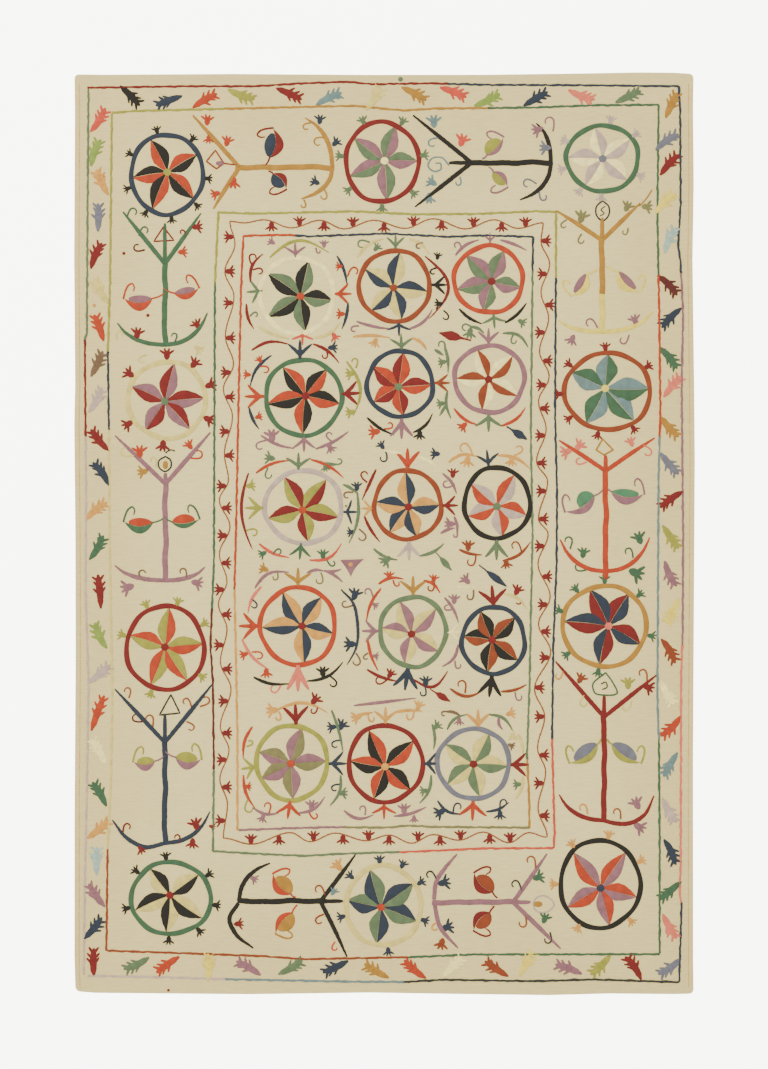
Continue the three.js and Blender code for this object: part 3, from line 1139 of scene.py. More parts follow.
def tree(bundle, row):
    # A trunk in one or two wools, a thin top, two crown arms and two foot arms, then what hangs on them.
    foot = np.array(row["foot"], float)
    ahead = direction(row["heading"])
    side = leftOf(ahead)
    start, forkAt, top = row["along"]
    lowWool, change = row.get("lowWool", (row["wool"], start))
    for colour, low, high in ((lowWool, start, change), (row["wool"], change, forkAt + treeLook["overlap"])):
        if high - low < treeLook["shortest"]:
            continue
        along = np.linspace(low, high, max(4, round((high - low) / treeLook["step"])))
        sway = wobble(along, row["foot"][0], treeLook["trunkWave"], treeLook["trunkWander"])
        trunk = foot + ahead * along[:, None] + side * sway[:, None]
        ribbon(bundle, trunk, treeLook["trunk"], colour)
    if top > forkAt:
        stemHalf = treeLook["stem"] * np.array(treeLook["stemShape"])
        stem = foot + ahead * np.linspace(forkAt, top, len(stemHalf))[:, None]
        ribbon(bundle, stem, stemHalf, row["wool"])
    bendOut, bendUp = treeLook["crownBend"]
    for left, along in row["crown"]:
        bend = (left * bendOut, forkAt + (along - forkAt) * bendUp)
        places = ((0, forkAt - treeLook["overlap"]), bend, (left, along))
        path = curve([foot + side * out + ahead * up for out, up in places], 4.0)
        ribbon(bundle, path, spindle(len(path), treeLook["branch"], *treeLook["crownTaper"]), row["wool"])
    for name, (left, along) in zip(("left", "right"), row["arms"]):
        points = row.get("ownArm", {}).get(name)
        if points is None:
            points = [foot + side * left * out + ahead * along * up for out, up in armShape]
        path = curve(points, 4.0)
        ribbon(bundle, path, spindle(len(path), treeLook["branch"], *treeLook["armTaper"]), lowWool)
    for leafRow in row["leaves"]:
        curledLeaf(bundle, leafRow, foot, ahead)
    for x, y, heading, size, colour in row["claws"]:
        claw(bundle, (x, y), heading, size, colour)
    for x, y, heading, size, turn, colour in row["hooks"]:
        hook(bundle, (x, y), heading, size, turn, colour)


# Buds at the tops of the trees: an outline through these points, its wool, and a filling if there is one.
finials = [
    ("crimson", [(-441, 614), (-460, 585), (-420, 587)], None),
    ("slate", [(-437, 155), (-450, 146), (-450, 134), (-437, 125), (-426, 134), (-427, 148)],
     ("mustard", -437, 138, 5.5, 1.5, 90)),
    ("slate", [(-426, -321), (-449, -362), (-408, -358)], None),
    ("slate", [(437, 666), (425, 655), (425, 637), (437, 626), (449, 637), (449, 655)], None),
    ("mustard", [(437, 190), (424, 168), (440, 158), (458, 168)], None),
    ("dkgreen", [(443, -277), (417, -304), (422, -318), (440, -322), (466, -318), (458, -298)], None),
    ("rust", [(-320, 741), (-337, 767), (-355, 745), (-335, 730)], ("mauve", -328, 741, 5.0, 1.7, 0)),
    ("lilac", [(298, -740), (303, -752), (318, -757), (334, -750), (340, -741), (332, -729), (318, -723),
               (303, -729)],
     ("mustard", 308, -740, 6.0, 1.5, 0)),
]
# Thin single lines: the points that they pass, half-width, wool.
curls = [
    ([(-437, 162), (-426, 168), (-418, 166)], 1.5, "slate"),
    ([(432, 636), (440, 641), (434, 648), (442, 655)], 1.4, "slate"),
    ([(510, 655), (524, 670), (536, 688)], 1.6, "mustard"),
    ([(436, -311), (446, -306), (443, -296), (434, -300)], 1.5, "slate"),
    ([(-293, 738), (-306, 739), (-320, 741)], 1.8, "rust"),
    ([(130, 737), (116, 752), (95, 750), (88, 736), (100, 725), (114, 730), (112, 741),
      (103, 741)], 1.9, "blue"),
]


finialHalf = 1.9


def finial(bundle, wool, points, filling):
    # Up to four corners are joined by straight runs, and more by a curve.
    ring = [*points, points[0]]
    if len(points) > 4:
        path = curve(ring, 2.5)
    else:
        runs = [np.linspace(start, end, 9)[:-1] for start, end in zip(ring[:-1], ring[1:])]
        path = np.concatenate([*runs, [ring[-1]]])
    ribbon(bundle, path, finialHalf, wool, ragged=0.15)
    if filling:
        colour, x, y, radius, stretch, heading = filling
        dot(bundle, (x, y), radius, colour, stretch, heading)


def treesObject():
    # The trees, then the buds at their tops, then the thin curls.
    bundle = newBundle()
    for row in trees:
        tree(bundle, row)
    for wool, points, filling in finials:
        finial(bundle, wool, points, filling)
    for points, half, colour in curls:
        ribbon(bundle, curve(points, 2.0), half, colour, ragged=0.15)
    return bundleObject("trees", bundle, thread)


# Leaf sprigs in the outer band, side by side: x, y, heading of the head, wool, and a length if unusual.
sprigLook = {
    "size": 56,
    "half": 7.8,
    "steps": 16,
    "shapeAt": (0, 0.2, 0.55, 0.85, 1),
    "shape": (0.25, 0.8, 1, 0.75, 0.25),
    "bend": 4,
    "pairs": (0.4, 0.6, 0.8),
    "finger": 18,
    "fingerHalf": 2.9,
    "fingerShape": (1.2, 1.15, 1.05, 0.95, 0.8, 0.5),
    "turn": 44,
    "turnWander": 9,
}
sprigs = {
    "top": [
        (-508, 876, -45, "black"), (-430, 866, 200, "navy"), (-358, 866, 30, "orange"),
        (-285, 879, -20, "lime"), (-190, 880, -24, "crimson"), (-110, 870, 25, "blue"),
        (-22, 872, 60, "khaki"), (60, 880, -28, "mustard"), (138, 883, -20, "coral"),
        (206, 868, 25, "leafgreen"), (303, 870, 30, "navy"), (395, 878, -20, "pink"), (488, 874, 25, "sage"),
    ],
    "right": [
        (575, 857, 65, "mustard"), (566, 783, 35, "peri"), (571, 738, 48, "crimson"),
        (563, 660, 45, "yellow"), (573, 587, 65, "paleblue"), (566, 497, 315, "maroon"),
        (575, 432, 225, "navy"), (568, 352, 310, "dkgreen"), (577, 295, 50, "pink"),
        (570, 215, 312, "mustard"), (571, 141, 310, "peri"), (575, 69, 215, "crimson"),
        (573, -6, 305, "lime"), (573, -79, 295, "mauve"), (577, -154, 245, "yellow"),
        (568, -234, 300, "rust"), (567, -317, 300, "cream"), (573, -384, 225, "orange"),
        (573, -461, 240, "blue"), (571, -552, 300, "lilac"), (571, -636, 295, "navy"),
        (573, -713, 220, "dkgreen"), (571, -784, 300, "pink"), (571, -864, 215, "peri"),
    ],
    "bottom": [
        (498, -868, 125, "crimson"), (433, -861, 225, "lime"), (369, -870, 160, "mauve"),
        (286, -860, 60, "yellow"), (225, -869, 147, "rust"), (138, -865, 45, "cream"),
        (62, -870, 140, "orange"), (-15, -873, 150, "mustard"), (-97, -865, 205, "navy"),
        (-187, -866, 30, "sage"), (-271, -868, 150, "mauve"), (-352, -866, 90, "yellow"),
        (-432, -861, 215, "orange"), (-495, -858, 205, "sage"), (-580, -856, 90, "crimson"),
    ],
    "left": [
        (-582, -788, 50, "navy"), (-574, -722, 125, "mauve"), (-574, -654, 90, "paleblue"),
        (-572, -590, 40, "tan"), (-569, -520, 120, "dkgreen"), (-571, -435, 120, "cream"),
        (-572, -358, 70, "orange", 75), (-569, -280, 40, "lilac"), (-566, -203, 115, "leafgreen"),
        (-569, -115, 95, "crimson", 68), (-575, -27, 60, "dkgreen"), (-575, 45, 40, "tan"),
        (-566, 120, 125, "navy"), (-568, 188, 130, "crimson"), (-577, 268, 62, "lilac"),
        (-574, 340, 65, "taupe"), (-570, 412, 110, "orange"), (-565, 485, 120, "khaki"),
        (-575, 556, 67, "crimson"), (-572, 633, 90, "peri"), (-563, 703, 115, "tan"),
        (-576, 762, 70, "leafgreen"), (-572, 828, 58, "coral"),
    ],
}


def sprig(bundle, x, y, heading, colour, size, seed):
    # A leaf-shaped body with swept fingers on both sides, shorter toward its head.
    look = sprigLook
    chance = np.random.default_rng(seed)
    ahead = direction(heading)
    side = leftOf(ahead)
    t = np.linspace(0, 1, look["steps"])
    bend = chance.uniform(-look["bend"], look["bend"]) * np.sin(math.pi * t)
    body = np.array([x, y], float) + ahead * ((t - 0.5) * size)[:, None] + side * bend[:, None]
    ribbon(bundle, body, look["half"] * np.interp(t, look["shapeAt"], look["shape"]), colour)
    fingerHalf = look["fingerHalf"] * np.array(look["fingerShape"])
    for share in look["pairs"]:
        for sign in (1, -1):
            root = body[round(share * (look["steps"] - 1))]
            turn = heading + sign * (look["turn"] + chance.uniform(-look["turnWander"], look["turnWander"]))
            tip = root + direction(turn) * look["finger"] * (1.2 - share * 0.35)
            finger = root + (tip - root) * np.linspace(0, 1, len(fingerHalf))[:, None]
            ribbon(bundle, finger, fingerHalf, colour, ragged=0.2)


def sprigsObject():
    # One sprig a row, each with a seed of its own, counted round the band.
    bundle = newBundle()
    number = 0
    for rows in sprigs.values():
        for x, y, heading, colour, *size in rows:
            sprig(bundle, x, y, heading, colour, size[0] if size else sprigLook["size"], 300 + number)
            number += 1
    return bundleObject("leaf_sprigs", bundle, thread)


# The vine between the third and fourth frame lines: its turning points, as (place, reach).
vineLook = {"half": 1.6, "claw": 21}
vines = {
    "left": [
        (625, -308), (580, -298), (525, -318), (475, -300), (395, -317), (340, -301), (290, -321),
        (235, -303), (160, -319), (108, -311), (68, -329), (15, -308), (-40, -329), (-95, -314),
        (-140, -331), (-190, -314), (-255, -327), (-310, -306), (-385, -327), (-432, -310), (-490, -328),
        (-540, -313), (-608, -321),
    ],
    "right": [
        (622, 318), (585, 314), (540, 331), (483, 314), (432, 329), (365, 311), (315, 330), (265, 309),
        (210, 324), (145, 305), (105, 327), (30, 309), (0, 328), (-60, 308), (-125, 332), (-180, 309),
        (-235, 333), (-310, 301), (-365, 321), (-428, 307), (-475, 323), (-548, 308), (-605, 326),
    ],
    "bottom": [
        (-321, -608), (-266, -620), (-187, -597), (-148, -615), (-98, -598), (-36, -613), (10, -602),
        (55, -618), (98, -601), (150, -612), (198, -596), (250, -617), (290, -597), (325, -606),
    ],
    "top": [
        (-308, 625), (-280, 622), (-240, 628), (-185, 612), (-128, 627), (-80, 610), (-20, 627), (42, 611),
        (98, 630), (163, 610), (220, 628), (268, 611), (318, 622),
    ],
}


def waveThrough(points, step=3.0):
    # A half cosine from each turning point to the next.
    points = np.asarray(points, float)
    pieces = []
    for start, end in zip(points[:-1], points[1:]):
        count = max(5, round(abs(end[0] - start[0]) / step))
        t = np.linspace(0, 1, count + 1)[:-1]
        ease = (1 - np.cos(math.pi * t)) / 2
        pieces.append(start + (end - start) * np.stack([t, ease], axis=1))
    return np.concatenate([*pieces, points[-1:]])


# The claws beside the vine: places along each side, and the way that the first one points; they alternate.
vineClaws = {
    "left": (-1, (
        594, 525, 462, 392, 323, 274, 205, 157, 96, 52, -3, -58, -111, -161, -222, -270, -334, -398, -451,
        -506, -573,
    )),
    "right": (1, (
        586, 520, 458, 403, 346, 298, 251, 197, 142, 86, 30, -24, -85, -141, -195, -247, -307, -365, -442,
        -498, -563,
    )),
    "bottom": (1, (-266, -210, -141, -82, -31, 10, 68, 112, 153, 211, 252)),
    "top": (-1, (-225, -169, -120, -62, 0, 59, 115, 179, 235, 283)),
}


def vineObject():
    # Each claw starts on the vine and points to the open side of its bay.
    bundle = newBundle()
    for side, rows in vines.items():
        upright = side in ("left", "right")
        wave = waveThrough(rows)
        path = wave[:, ::-1] if upright else wave
        ribbon(bundle, path, vineLook["half"], "vine", ragged=0.25)
        ordered = wave[np.argsort(wave[:, 0])]
        sign, places = vineClaws[side]
        for number, place in enumerate(places):
            way = sign if number % 2 == 0 else -sign
            out = np.interp(place, ordered[:, 0], ordered[:, 1])
            spot = (out, place) if upright else (place, out)
            heading = (0 if way > 0 else 180) if upright else (90 if way > 0 else 270)
            claw(bundle, spot, heading, vineLook["claw"], "crimson")
    return bundleObject("vine", bundle, thread)


# The stitches between the field's flowers, round one flower after another, in the flowers' order.
# Arcs: from x, y, to x, y, bow to the left, wool. Forks: x, y, heading, size, spread, wool. Claws: x, y,
# heading, size, wool. Hooks: x, y, heading, size, turn (1 left, -1 right), wool.
fieldStitches = [
    {
        "arcs": [(-228, 553, -110, 562, 29, "lime"), (-267, 503, -242, 560, 10, "crimson"),
                 (-275, 460, -260, 410, -5, "crimson"), (-94, 556, -74, 497, 4, "navy"),
                 (-72, 463, -84, 410, 3, "navy"), (-252, 414, -190, 390, -3, "khaki"),
                 (-138, 392, -88, 422, -7, "khaki")],
        "forks": [(-177, 556, 92, 24, 50, "mauve"), (-246, 486, 185, 26, 50, "sage"),
                  (-96, 480, 0, 28, 40, "orange"), (-163, 402, 270, 22, 60, "coral")],
        "claws": [(-218, 580, 150, 16, "mauve"), (-120, 572, 90, 16, "mauve"), (-82, 535, 180, 16, "orange"),
                  (-78, 440, 180, 18, "orange"), (-103, 402, 300, 18, "coral")],
        "hooks": [(-264, 537, 110, 26, -1, "crimson"), (-262, 528, 15, 22, -1, "crimson"),
                  (-268, 435, 45, 18, -1, "sage"), (-73, 515, 65, 28, -1, "orange"),
                  (-136, 572, 280, 14, 1, "mauve")],
    },
    {
        "arcs": [(-53, 553, 0, 590, 8, "khaki"), (50, 590, 90, 560, 6, "khaki"),
                 (82, 555, 90, 430, 43, "crimson"), (-55, 425, 15, 410, -3, "mauve"),
                 (50, 410, 97, 450, -8, "mauve")],
        "forks": [(23, 572, 90, 24, 40, "sage"), (98, 498, 0, 26, 38, "black"),
                  (30, 422, 270, 24, 60, "navy")],
        "claws": [(-20, 566, 50, 18, "sage"), (106, 548, 80, 16, "black"), (118, 460, 180, 18, "black")],
        "hooks": [(-28, 583, 165, 28, 1, "sage"), (105, 532, 200, 18, 1, "black"),
                  (119, 447, 315, 22, -1, "black"), (-50, 416, 185, 20, 1, "mauve"),
                  (78, 582, 190, 18, 1, "taupe")],
    },
    {
        "arcs": [(143, 557, 190, 588, 6, "mauve"), (232, 588, 285, 567, 2, "mauve"),
                 (150, 450, 196, 420, -4, "black"), (242, 422, 285, 462, -4, "black")],
        "forks": [(219, 437, 275, 24, 60, "sage"), (212, 584, 90, 17, 45, "mauve")],
        "claws": [(268, 428, 330, 18, "sage")],
        "hooks": [(156, 568, 110, 22, 1, "mauve")],
    },
    {
        "arcs": [(-265, 367, -190, 379, 11, "crimson"), (-142, 380, -90, 342, 6, "crimson"),
                 (-225, 357, -268, 295, -9, "navy"), (-270, 253, -250, 210, -3, "navy"),
                 (-75, 345, -62, 235, 21, "lime"), (-246, 197, -180, 171, -5, "mauve"),
                 (-137, 170, -71, 205, -4, "mauve")],
        "forks": [(-168, 353, 90, 31, 42, "navy"), (-243, 275, 180, 32, 38, "orange"),
                  (-82, 280, 3, 32, 40, "crimson"), (-160, 194, 270, 27, 45, "mauve")],
        "claws": [(-112, 372, 5, 20, "navy"), (-244, 342, 125, 16, "orange"), (-266, 318, 175, 16, "orange"),
                  (-258, 232, 20, 16, "orange"), (-58, 322, 190, 20, "lime"), (-58, 245, 190, 20, "lime"),
                  (-223, 184, 95, 26, "mauve"), (-112, 180, 300, 20, "mauve")],
        "hooks": [(-115, 368, 280, 20, -1, "crimson"), (-250, 335, 0, 24, -1, "orange"),
                  (-56, 332, 75, 22, 1, "lime"), (-236, 187, 195, 27, 1, "mauve"),
                  (-104, 185, 140, 22, -1, "mauve")],
    },
    {
        "arcs": [(-62, 394, 12, 392, 4, "tan"), (55, 392, 85, 368, 5, "tan"),
                 (121, 376, 128, 322, 3, "sage"), (101, 369, 119, 357, 0, "sage"),
                 (127, 286, 134, 231, -6, "sage"), (124, 258, 111, 236, 0, "sage"),
                 (-34, 233, 20, 198, -4, "black"), (58, 203, 97, 241, -7, "black")],
        "forks": [(35, 371, 92, 26, 50, "sage"), (103, 302, 0, 26, 35, "rust"),
                  (35, 228, 270, 34, 35, "mauve")],
        "claws": [(-15, 392, 250, 20, "tan"), (125, 345, 190, 18, "sage"), (122, 262, 190, 18, "sage"),
                  (72, 208, 265, 20, "black"), (-8, 205, 185, 24, "orange")],
        "hooks": [(122, 366, 92, 24, 1, "sage"), (0, 210, 5, 22, 1, "orange")],
    },
    {
        "arcs": [(172, 414, 200, 401, 4, "sage"), (237, 401, 288, 373, 12, "sage"),
                 (140, 251, 188, 218, -6, "orange"), (234, 216, 283, 253, -7, "orange")],
        "forks": [(209, 381, 90, 27, 42, "mauve"), (209, 238, 270, 30, 50, "sage")],
        "claws": [(165, 222, 225, 20, "orange"), (173, 412, 262, 22, "sage")],
        "hooks": [(258, 398, 250, 20, 1, "sage"), (178, 412, 150, 25, 1, "sage")],
    },
    {
        "arcs": [(-256, 122, -189, 147, 6, "orange"), (-147, 149, -81, 112, 6, "orange"),
                 (-271, 122, -263, -31, -18, "crimson"), (-54, 84, -70, -18, 10, "sage"),
                 (-82, 99, -52, 80, 2, "sage"), (-250, -19, -190, -47, -6, "coral"),
                 (-149, -52, -85, -19, -14, "coral"), (-120, 142, -90, 139, -1, "sage")],
        "forks": [(-171, 131, 90, 28, 50, "sage"), (-244, 52, 180, 30, 40, "lime"),
                  (-78, 44, 0, 24, 62, "navy"), (-166, -21, 265, 27, 43, "dkgreen")],
        "claws": [(-218, 150, 168, 22, "sage"), (-118, 140, 275, 16, "sage"), (-276, 95, 10, 20, "lime"),
                  (-54, 86, 93, 19, "navy"), (-58, 4, 182, 17, "navy"), (-235, -36, 205, 18, "dkgreen"),
                  (-122, -50, 90, 20, "dkgreen")],
        "hooks": [(-232, 132, 248, 24, 1, "sage"), (-62, 83, 178, 22, 1, "taupe"),
                  (-50, 10, 318, 28, -1, "taupe"), (-100, 139, 5, 20, 1, "sage"),
                  (-276, 7, 12, 26, -1, "lime"), (-222, -40, 50, 20, -1, "dkgreen"),
                  (-114, -53, 305, 20, 1, "dkgreen")],
    },
    {
        "arcs": [(0, 167, 40, 160, 0, "cream"), (66, 155, 106, 132, 4, "cream"),
                 (-16, 129, -44, 68, 0, "crimson"), (-39, 35, -8, -16, -3, "crimson"),
                 (117, 121, 145, 80, 5, "mauve"), (113, 1, 142, 12, 2, "mauve"),
                 (140, 35, 146, 0, 3, "mauve"), (-21, -29, 27, -52, -5, "sage"),
                 (71, -44, 120, -19, -5, "sage")],
        "forks": [(47, 131, 90, 36, 35, "orange"), (-22, 51, 180, 22, 42, "tan"),
                  (119, 57, 0, 26, 40, "crimson"), (50, -16, 270, 32, 38, "lilac")],
        "claws": [(0, 170, 125, 18, "navy"), (112, 160, 178, 20, "navy"), (137, 112, 85, 20, "crimson"),
                  (142, 20, 180, 22, "mauve"), (12, -45, 225, 24, "sage")],
        "hooks": [(3, 167, 282, 26, -1, "navy"), (141, 98, 200, 26, -1, "mauve"),
                  (-34, 103, 135, 26, -1, "crimson"), (146, 6, 275, 15, -1, "mauve")],
    },
    {
        "arcs": [(129, 143, 190, 153, 11, "tan"), (227, 157, 292, 130, 9, "tan"),
                 (150, -31, 196, -42, -3, "rust"), (237, -54, 293, -16, -8, "rust")],
        "forks": [(209, 138, 97, 27, 47, "navy"), (225, -14, 270, 34, 35, "sage")],
        "claws": [(168, 157, 262, 24, "tan"), (256, 155, 262, 20, "tan"),
                  (168, -34, 88, 22, "rust"), (243, -50, 280, 20, "rust")],
        "hooks": [(177, 159, 115, 34, 1, "tan"), (260, 157, 25, 26, 1, "tan"),
                  (184, -42, 260, 28, -1, "rust"), (275, -35, 110, 28, 1, "rust")],
    },
    {
        "arcs": [(-258, -108, -190, -77, 15, "mauve"), (-120, -73, -83, -96, 3, "mauve"),
                 (-154, -78, -120, -74, 4, "mauve"), (-120, -74, -85, -70, -3, "mauve"),
                 (-245, -105, -272, -159, -6, "pink"), (-284, -210, -230, -271, -8, "pink"),
                 (-261, -286, -189, -299, -7, "black"), (-154, -294, -82, -256, -11, "black")],
        "forks": [(-172, -101, 90, 30, 50, "mustard"), (-252, -184, 180, 34, 42, "orange"),
                  (-172, -265, 270, 44, 25, "pink")],
        "claws": [(-231, -73, 160, 20, "mustard"), (-272, -238, 200, 18, "orange"),
                  (-236, -268, 275, 20, "orange"), (-61, -132, 75, 25, "navy"), (-56, -220, 181, 25, "navy"),
                  (-122, -286, 92, 22, "black")],
        "hooks": [(-213, -76, 275, 19, -1, "olive"), (-126, -77, 285, 26, -1, "olive"),
                  (-265, -130, 320, 22, -1, "navy"), (-264, -236, 0, 26, -1, "orange"),
                  (-63, -143, 195, 24, -1, "taupe"), (-56, -238, 300, 28, -1, "taupe"),
                  (-108, -284, 320, 26, -1, "black"), (-205, -300, 240, 28, -1, "pink")],
    },
    {
        "arcs": [(-11, -100, 40, -90, 7, "orange"), (79, -93, 112, -118, 6, "orange"),
                 (-6, -109, -35, -173, -6, "orange"), (-33, -208, -12, -273, -4, "orange"),
                 (121, -127, 149, -178, 4, "mauve"), (148, -221, 116, -265, 9, "mauve"),
                 (-34, -271, 30, -295, -4, "crimson"), (58, -290, 127, -274, -24, "crimson")],
        "forks": [(58, -120, 90, 32, 45, "mustard"), (-13, -194, 180, 28, 42, "mauve"),
                  (48, -268, 262, 40, 32, "navy"), (130, -197, 2, 22, 42, "cream")],
        "claws": [(10, -92, 90, 18, "orange"), (98, -98, 80, 18, "orange"), (8, -288, 60, 20, "crimson"),
                  (83, -305, 88, 22, "navy"), (-24, -243, 352, 15, "mauve"), (-24, -138, 325, 15, "mauve"),
                  (140, -140, 88, 20, "mauve")],
        "hooks": [(18, -92, 290, 18, 1, "orange"), (101, -97, 262, 22, -1, "rust"),
                  (138, -150, 192, 20, -1, "mauve"), (142, -253, 275, 20, 1, "mauve"),
                  (8, -290, 215, 28, -1, "crimson"), (82, -305, 280, 22, -1, "navy"),
                  (-32, -238, 215, 16, 1, "taupe"), (-22, -126, 108, 24, 1, "mauve")],
    },
    {
        "arcs": [(240, -120, 285, -150, 8, "khaki"), (146, -107, 190, -111, 3, "cream"),
                 (132, -309, 196, -314, -13, "rust"), (234, -315, 285, -301, -4, "rust")],
        "forks": [(219, -143, 95, 36, 42, "crimson"), (216, -284, 262, 38, 32, "black")],
        "claws": [(262, -122, 65, 22, "crimson"), (171, -99, 135, 22, "mauve")],
        "hooks": [(262, -125, 330, 20, -1, "crimson"), (179, -112, 268, 24, -1, "taupe"),
                  (162, -318, 85, 30, 1, "rust"), (262, -316, 280, 22, 1, "mauve")],
    },
    {
        "arcs": [(-215, -352, -113, -357, 17, "tan"), (-263, -385, -281, -449, -7, "orange"),
                 (-281, -482, -258, -548, -7, "orange"), (-105, -352, -82, -436, 3, "sage"),
                 (-87, -482, -108, -543, 9, "sage"), (-261, -548, -210, -558, -7, "mauve"),
                 (-171, -558, -118, -525, -9, "mauve")],
        "forks": [(-176, -378, 92, 36, 38, "crimson"), (-257, -465, 190, 26, 45, "lime"),
                  (-108, -459, 0, 30, 42, "navy"), (-188, -536, 262, 30, 45, "orange")],
        "claws": [(-212, -352, 182, 24, "tan"), (-145, -340, 50, 24, "crimson"),
                  (-280, -505, 0, 16, "orange"), (-95, -385, 188, 20, "navy"), (-91, -392, 55, 24, "navy"),
                  (-92, -518, 0, 20, "sage"), (-240, -560, 250, 18, "mauve"), (-145, -553, 88, 22, "mauve")],
        "hooks": [(-210, -355, 290, 20, -1, "tan"), (-132, -345, 250, 20, -1, "crimson"),
                  (-275, -425, 20, 18, 1, "lime"), (-272, -530, 250, 30, 1, "lime"),
                  (-86, -412, 190, 24, 1, "navy"), (-88, -500, 190, 22, 1, "navy"),
                  (-230, -558, 75, 24, 1, "orange"), (-150, -556, 300, 22, 1, "orange")],
    },
    {
        "arcs": [(-62, -367, -21, -357, 2, "tan"), (20, -357, 76, -354, 3, "tan"),
                 (96, -380, 99, -431, 4, "sage"), (94, -482, 71, -538, 8, "sage"),
                 (-80, -553, -21, -561, -12, "mauve"), (20, -564, 84, -546, -4, "mauve"),
                 (-60, -343, 65, -328, 0, "mauve")],
        "forks": [(3, -377, 90, 28, 45, "tan"), (82, -459, 0, 26, 45, "navy"),
                  (0, -541, 270, 26, 55, "orange")],
        "claws": [(-45, -363, 200, 22, "tan"), (66, -352, 70, 20, "tan"), (98, -390, 40, 20, "sage"),
                  (88, -512, 190, 18, "sage"), (40, -560, 90, 22, "mauve"), (60, -562, 270, 16, "mauve")],
        "hooks": [(-32, -360, 280, 20, 1, "tan"), (60, -353, 260, 24, -1, "tan"),
                  (-38, -562, 85, 22, 1, "mauve")],
    },
    {
        "arcs": [(126, -391, 166, -361, 8, "sage"), (210, -361, 257, -393, 10, "sage"),
                 (124, -355, 154, -364, 3, "taupe"), (230, -366, 237, -391, -4, "mauve"),
                 (268, -400, 278, -440, 3, "khaki"), (277, -485, 263, -530, 5, "khaki"),
                 (107, -533, 155, -560, -9, "navy"), (204, -555, 250, -536, -5, "navy")],
        "forks": [(188, -386, 90, 31, 41, "tan"), (254, -461, 0, 32, 38, "crimson"),
                  (178, -535, 268, 34, 45, "orange")],
        "claws": [(150, -366, 270, 17, "mauve"), (244, -361, 15, 20, "tan"), (248, -420, 335, 15, "taupe"),
                  (266, -410, 150, 18, "khaki"), (275, -500, 185, 18, "sage"),
                  (122, -552, 205, 24, "navy"), (232, -552, 270, 20, "navy")],
        "hooks": [(128, -355, 180, 16, 1, "taupe"), (138, -558, 80, 26, -1, "navy"),
                  (232, -550, 88, 24, -1, "navy")],
    },
]
# Loose buds between the flowers: from, to, half-width, wool.
buds = [
    (174, 387, 110, 402, 10.0, "crimson"),
    (245, 215, 286, 189, 9.0, "navy"),
    (190, -62, 245, -105, 7.8, "navy"),
    (103, -36, 135, -73, 7.0, "sage"),
    (92, -310, 132, -335, 7.5, "crimson"),
]
# A long arc that isn't a plain bow: the points that it passes, half-width, wool.
longArcs = [([(-86, -111), (-63, -136), (-53, -178), (-56, -228), (-74, -262)], 3.6, "navy")]
# A solid triangle with a pale heart: its corners, going round, and the heart's x, y and radius.
triangle = {
    "left": (-88, -52),
    "right": (-40, -50),
    "tip": (-66, -86),
    "hollow": 4.0,
    "heart": (-67, -61, 5.0),
}
# Small single marks: x, y, radius, wool.
spots = [
    (-520, 561, 3.5, "crimson"),
    (-579, 457, 3.5, "tan"),
    (-472, 437, 3.5, "crimson"),
    (-431, -912, 3.0, "crimson"),
    (33, 909, 5.0, "sage"),
    (-76, 56, 2.5, "olive"),
]


# A bud's half-width along it, as shares of its fullest.
budShape = {"steps": 16, "at": (0, 0.3, 0.45, 0.65, 0.85, 1), "half": (0.2, 0.25, 0.8, 1, 0.5, 0.15)}


def bud(bundle, startX, startY, endX, endY, half, colour):
    # A thin stem that swells and comes to a point.
    t = np.linspace(0, 1, budShape["steps"])
    run = np.array([endX - startX, endY - startY], float)
    path = np.array([startX, startY], float) + run * t[:, None]
    shape = np.interp(t, budShape["at"], budShape["half"])
    ribbon(bundle, path, half * shape, colour)


def bracketsObject():
    # The arcs, forks, claws and hooks of each flower, then the buds and single marks.
    bundle = newBundle()
    for group in fieldStitches:
        for row in group["arcs"]:
            arc(bundle, *row)
        for row in group["forks"]:
            fork(bundle, *row)
        for x, y, heading, size, colour in group["claws"]:
            claw(bundle, (x, y), heading, size, colour)
        for x, y, heading, size, turn, colour in group["hooks"]:
            hook(bundle, (x, y), heading, size, turn, colour)
    for row in buds:
        bud(bundle, *row)
    for x, y, radius, colour in spots:
        dot(bundle, (x, y), radius, colour)
    for points, half, colour in longArcs:
        path = curve(points, 4.0)
        ribbon(bundle, path, spindle(len(path), half, arcs["start"], arcs["end"]), colour)
    # Both sides of the triangle are drawn in a little by a half sine.
    t = np.linspace(0, 1, 12)[:, None]
    left, right, tip = (np.array(triangle[corner], float) for corner in ("left", "right", "tip"))
    inward = np.array([(triangle["hollow"], 0)]) * np.sin(math.pi * t)
    strip(bundle, left + (tip - left) * t + inward * 0.3, right + (tip - right) * t - inward, "mauve")
    heartX, heartY, heartRadius = triangle["heart"]
    dot(bundle, (heartX, heartY), heartRadius, "tan")
    return bundleObject("brackets", bundle, thread)


stitched = [
    hemLine(),
    frameObject(),
    flowersObject("border_flowers", borderFlowers, 11),
    flowersObject("field_flowers", fieldFlowers, 41),
    flowerClawsObject(),
    treesObject(),
    sprigsObject(),
    vineObject(),
    bracketsObject(),
]


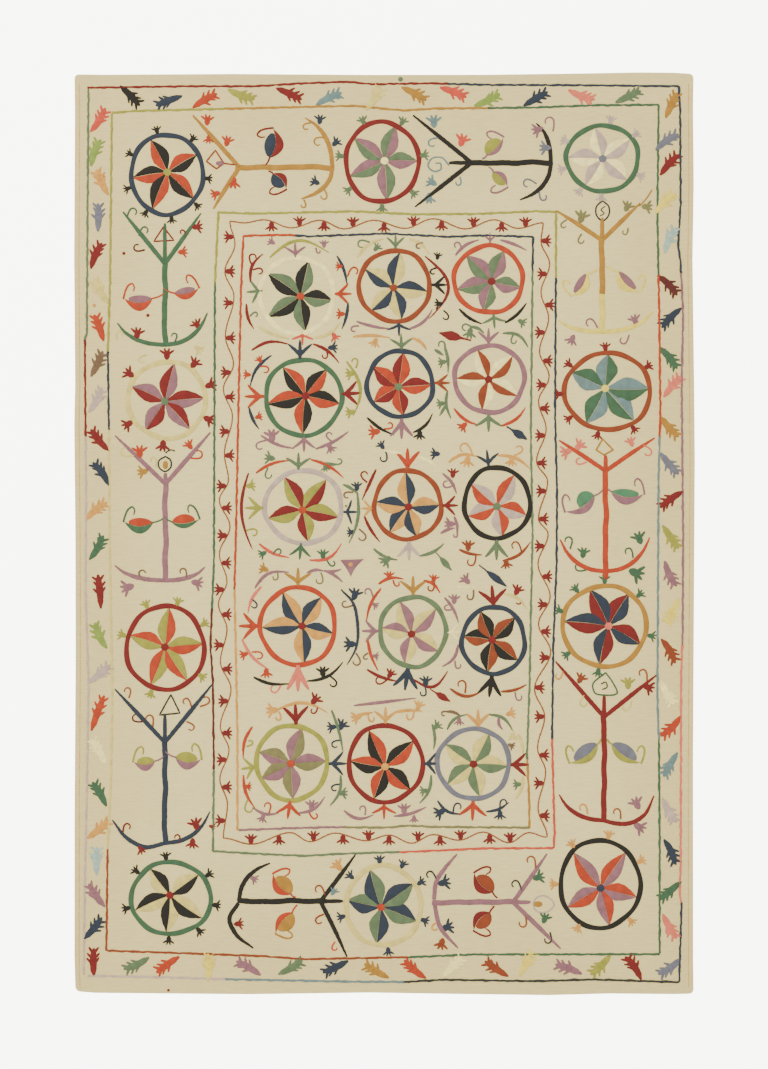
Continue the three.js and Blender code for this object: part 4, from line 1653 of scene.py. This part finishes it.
# A plain white floor, soft light from all round, and a camera straight above the rug's middle.
room = {
    "reach": 6,
    "floor": (248, 248, 246),
    "roughness": 0.95,
    "glow": 6.0,
    "sky": 1.8,
    "warmth": (1.0, 0.955, 0.82),
    "lamp": 125.0,
    "lampSize": 3.0,
    "lampPlace": (-2.2, 2.4, 3.6),
    "lampTurn": (-33, -31, 0),
}
camera = {"height": 5.0, "frame": 2.138, "sensor": 36.0, "drop": 1.0}


def floor():
    # A square that glows, so that it comes out as white as the photo's ground.
    far = room["reach"]
    points = [(-far, -far, 0), (far, -far, 0), (far, far, 0), (-far, far, 0)]
    mesh = bpy.data.meshes.new("floor")
    mesh.from_pydata(points, [], [(0, 1, 2, 3)])
    material, tree, shader = newMaterial("floor", room["roughness"])
    shader.inputs["Base Color"].default_value = (*linear(room["floor"]), 1)
    shader.inputs["Emission Color"].default_value = (1, 1, 1, 1)
    shader.inputs["Emission Strength"].default_value = room["glow"]
    mesh.materials.append(material)
    made = bpy.data.objects.new("floor", mesh)
    bpy.context.scene.collection.objects.link(made)


def lights():
    # An even warm sky, and one square lamp from the photo's upper left.
    world = bpy.data.worlds.new("room")
    world.use_nodes = True
    world.node_tree.nodes["Background"].inputs["Color"].default_value = (*room["warmth"], 1)
    world.node_tree.nodes["Background"].inputs["Strength"].default_value = room["sky"]
    bpy.context.scene.world = world
    lamp = bpy.data.lights.new("softbox", "AREA")
    lamp.energy = room["lamp"]
    lamp.color = room["warmth"]
    lamp.size = room["lampSize"]
    made = bpy.data.objects.new("softbox", lamp)
    made.location = room["lampPlace"]
    made.rotation_euler = [math.radians(turn) for turn in room["lampTurn"]]
    bpy.context.scene.collection.objects.link(made)


def lookDown():
    # The lens is the one that sees the frame's length from the camera's height.
    data = bpy.data.cameras.new("camera")
    data.sensor_width = camera["sensor"]
    data.lens = camera["sensor"] * camera["height"] / camera["frame"]
    made = bpy.data.objects.new("camera", data)
    made.location = (0, -camera["drop"] * mm, camera["height"])
    bpy.context.scene.collection.objects.link(made)
    bpy.context.scene.camera = made


floor()
lights()
lookDown()
print("scene: room ready")
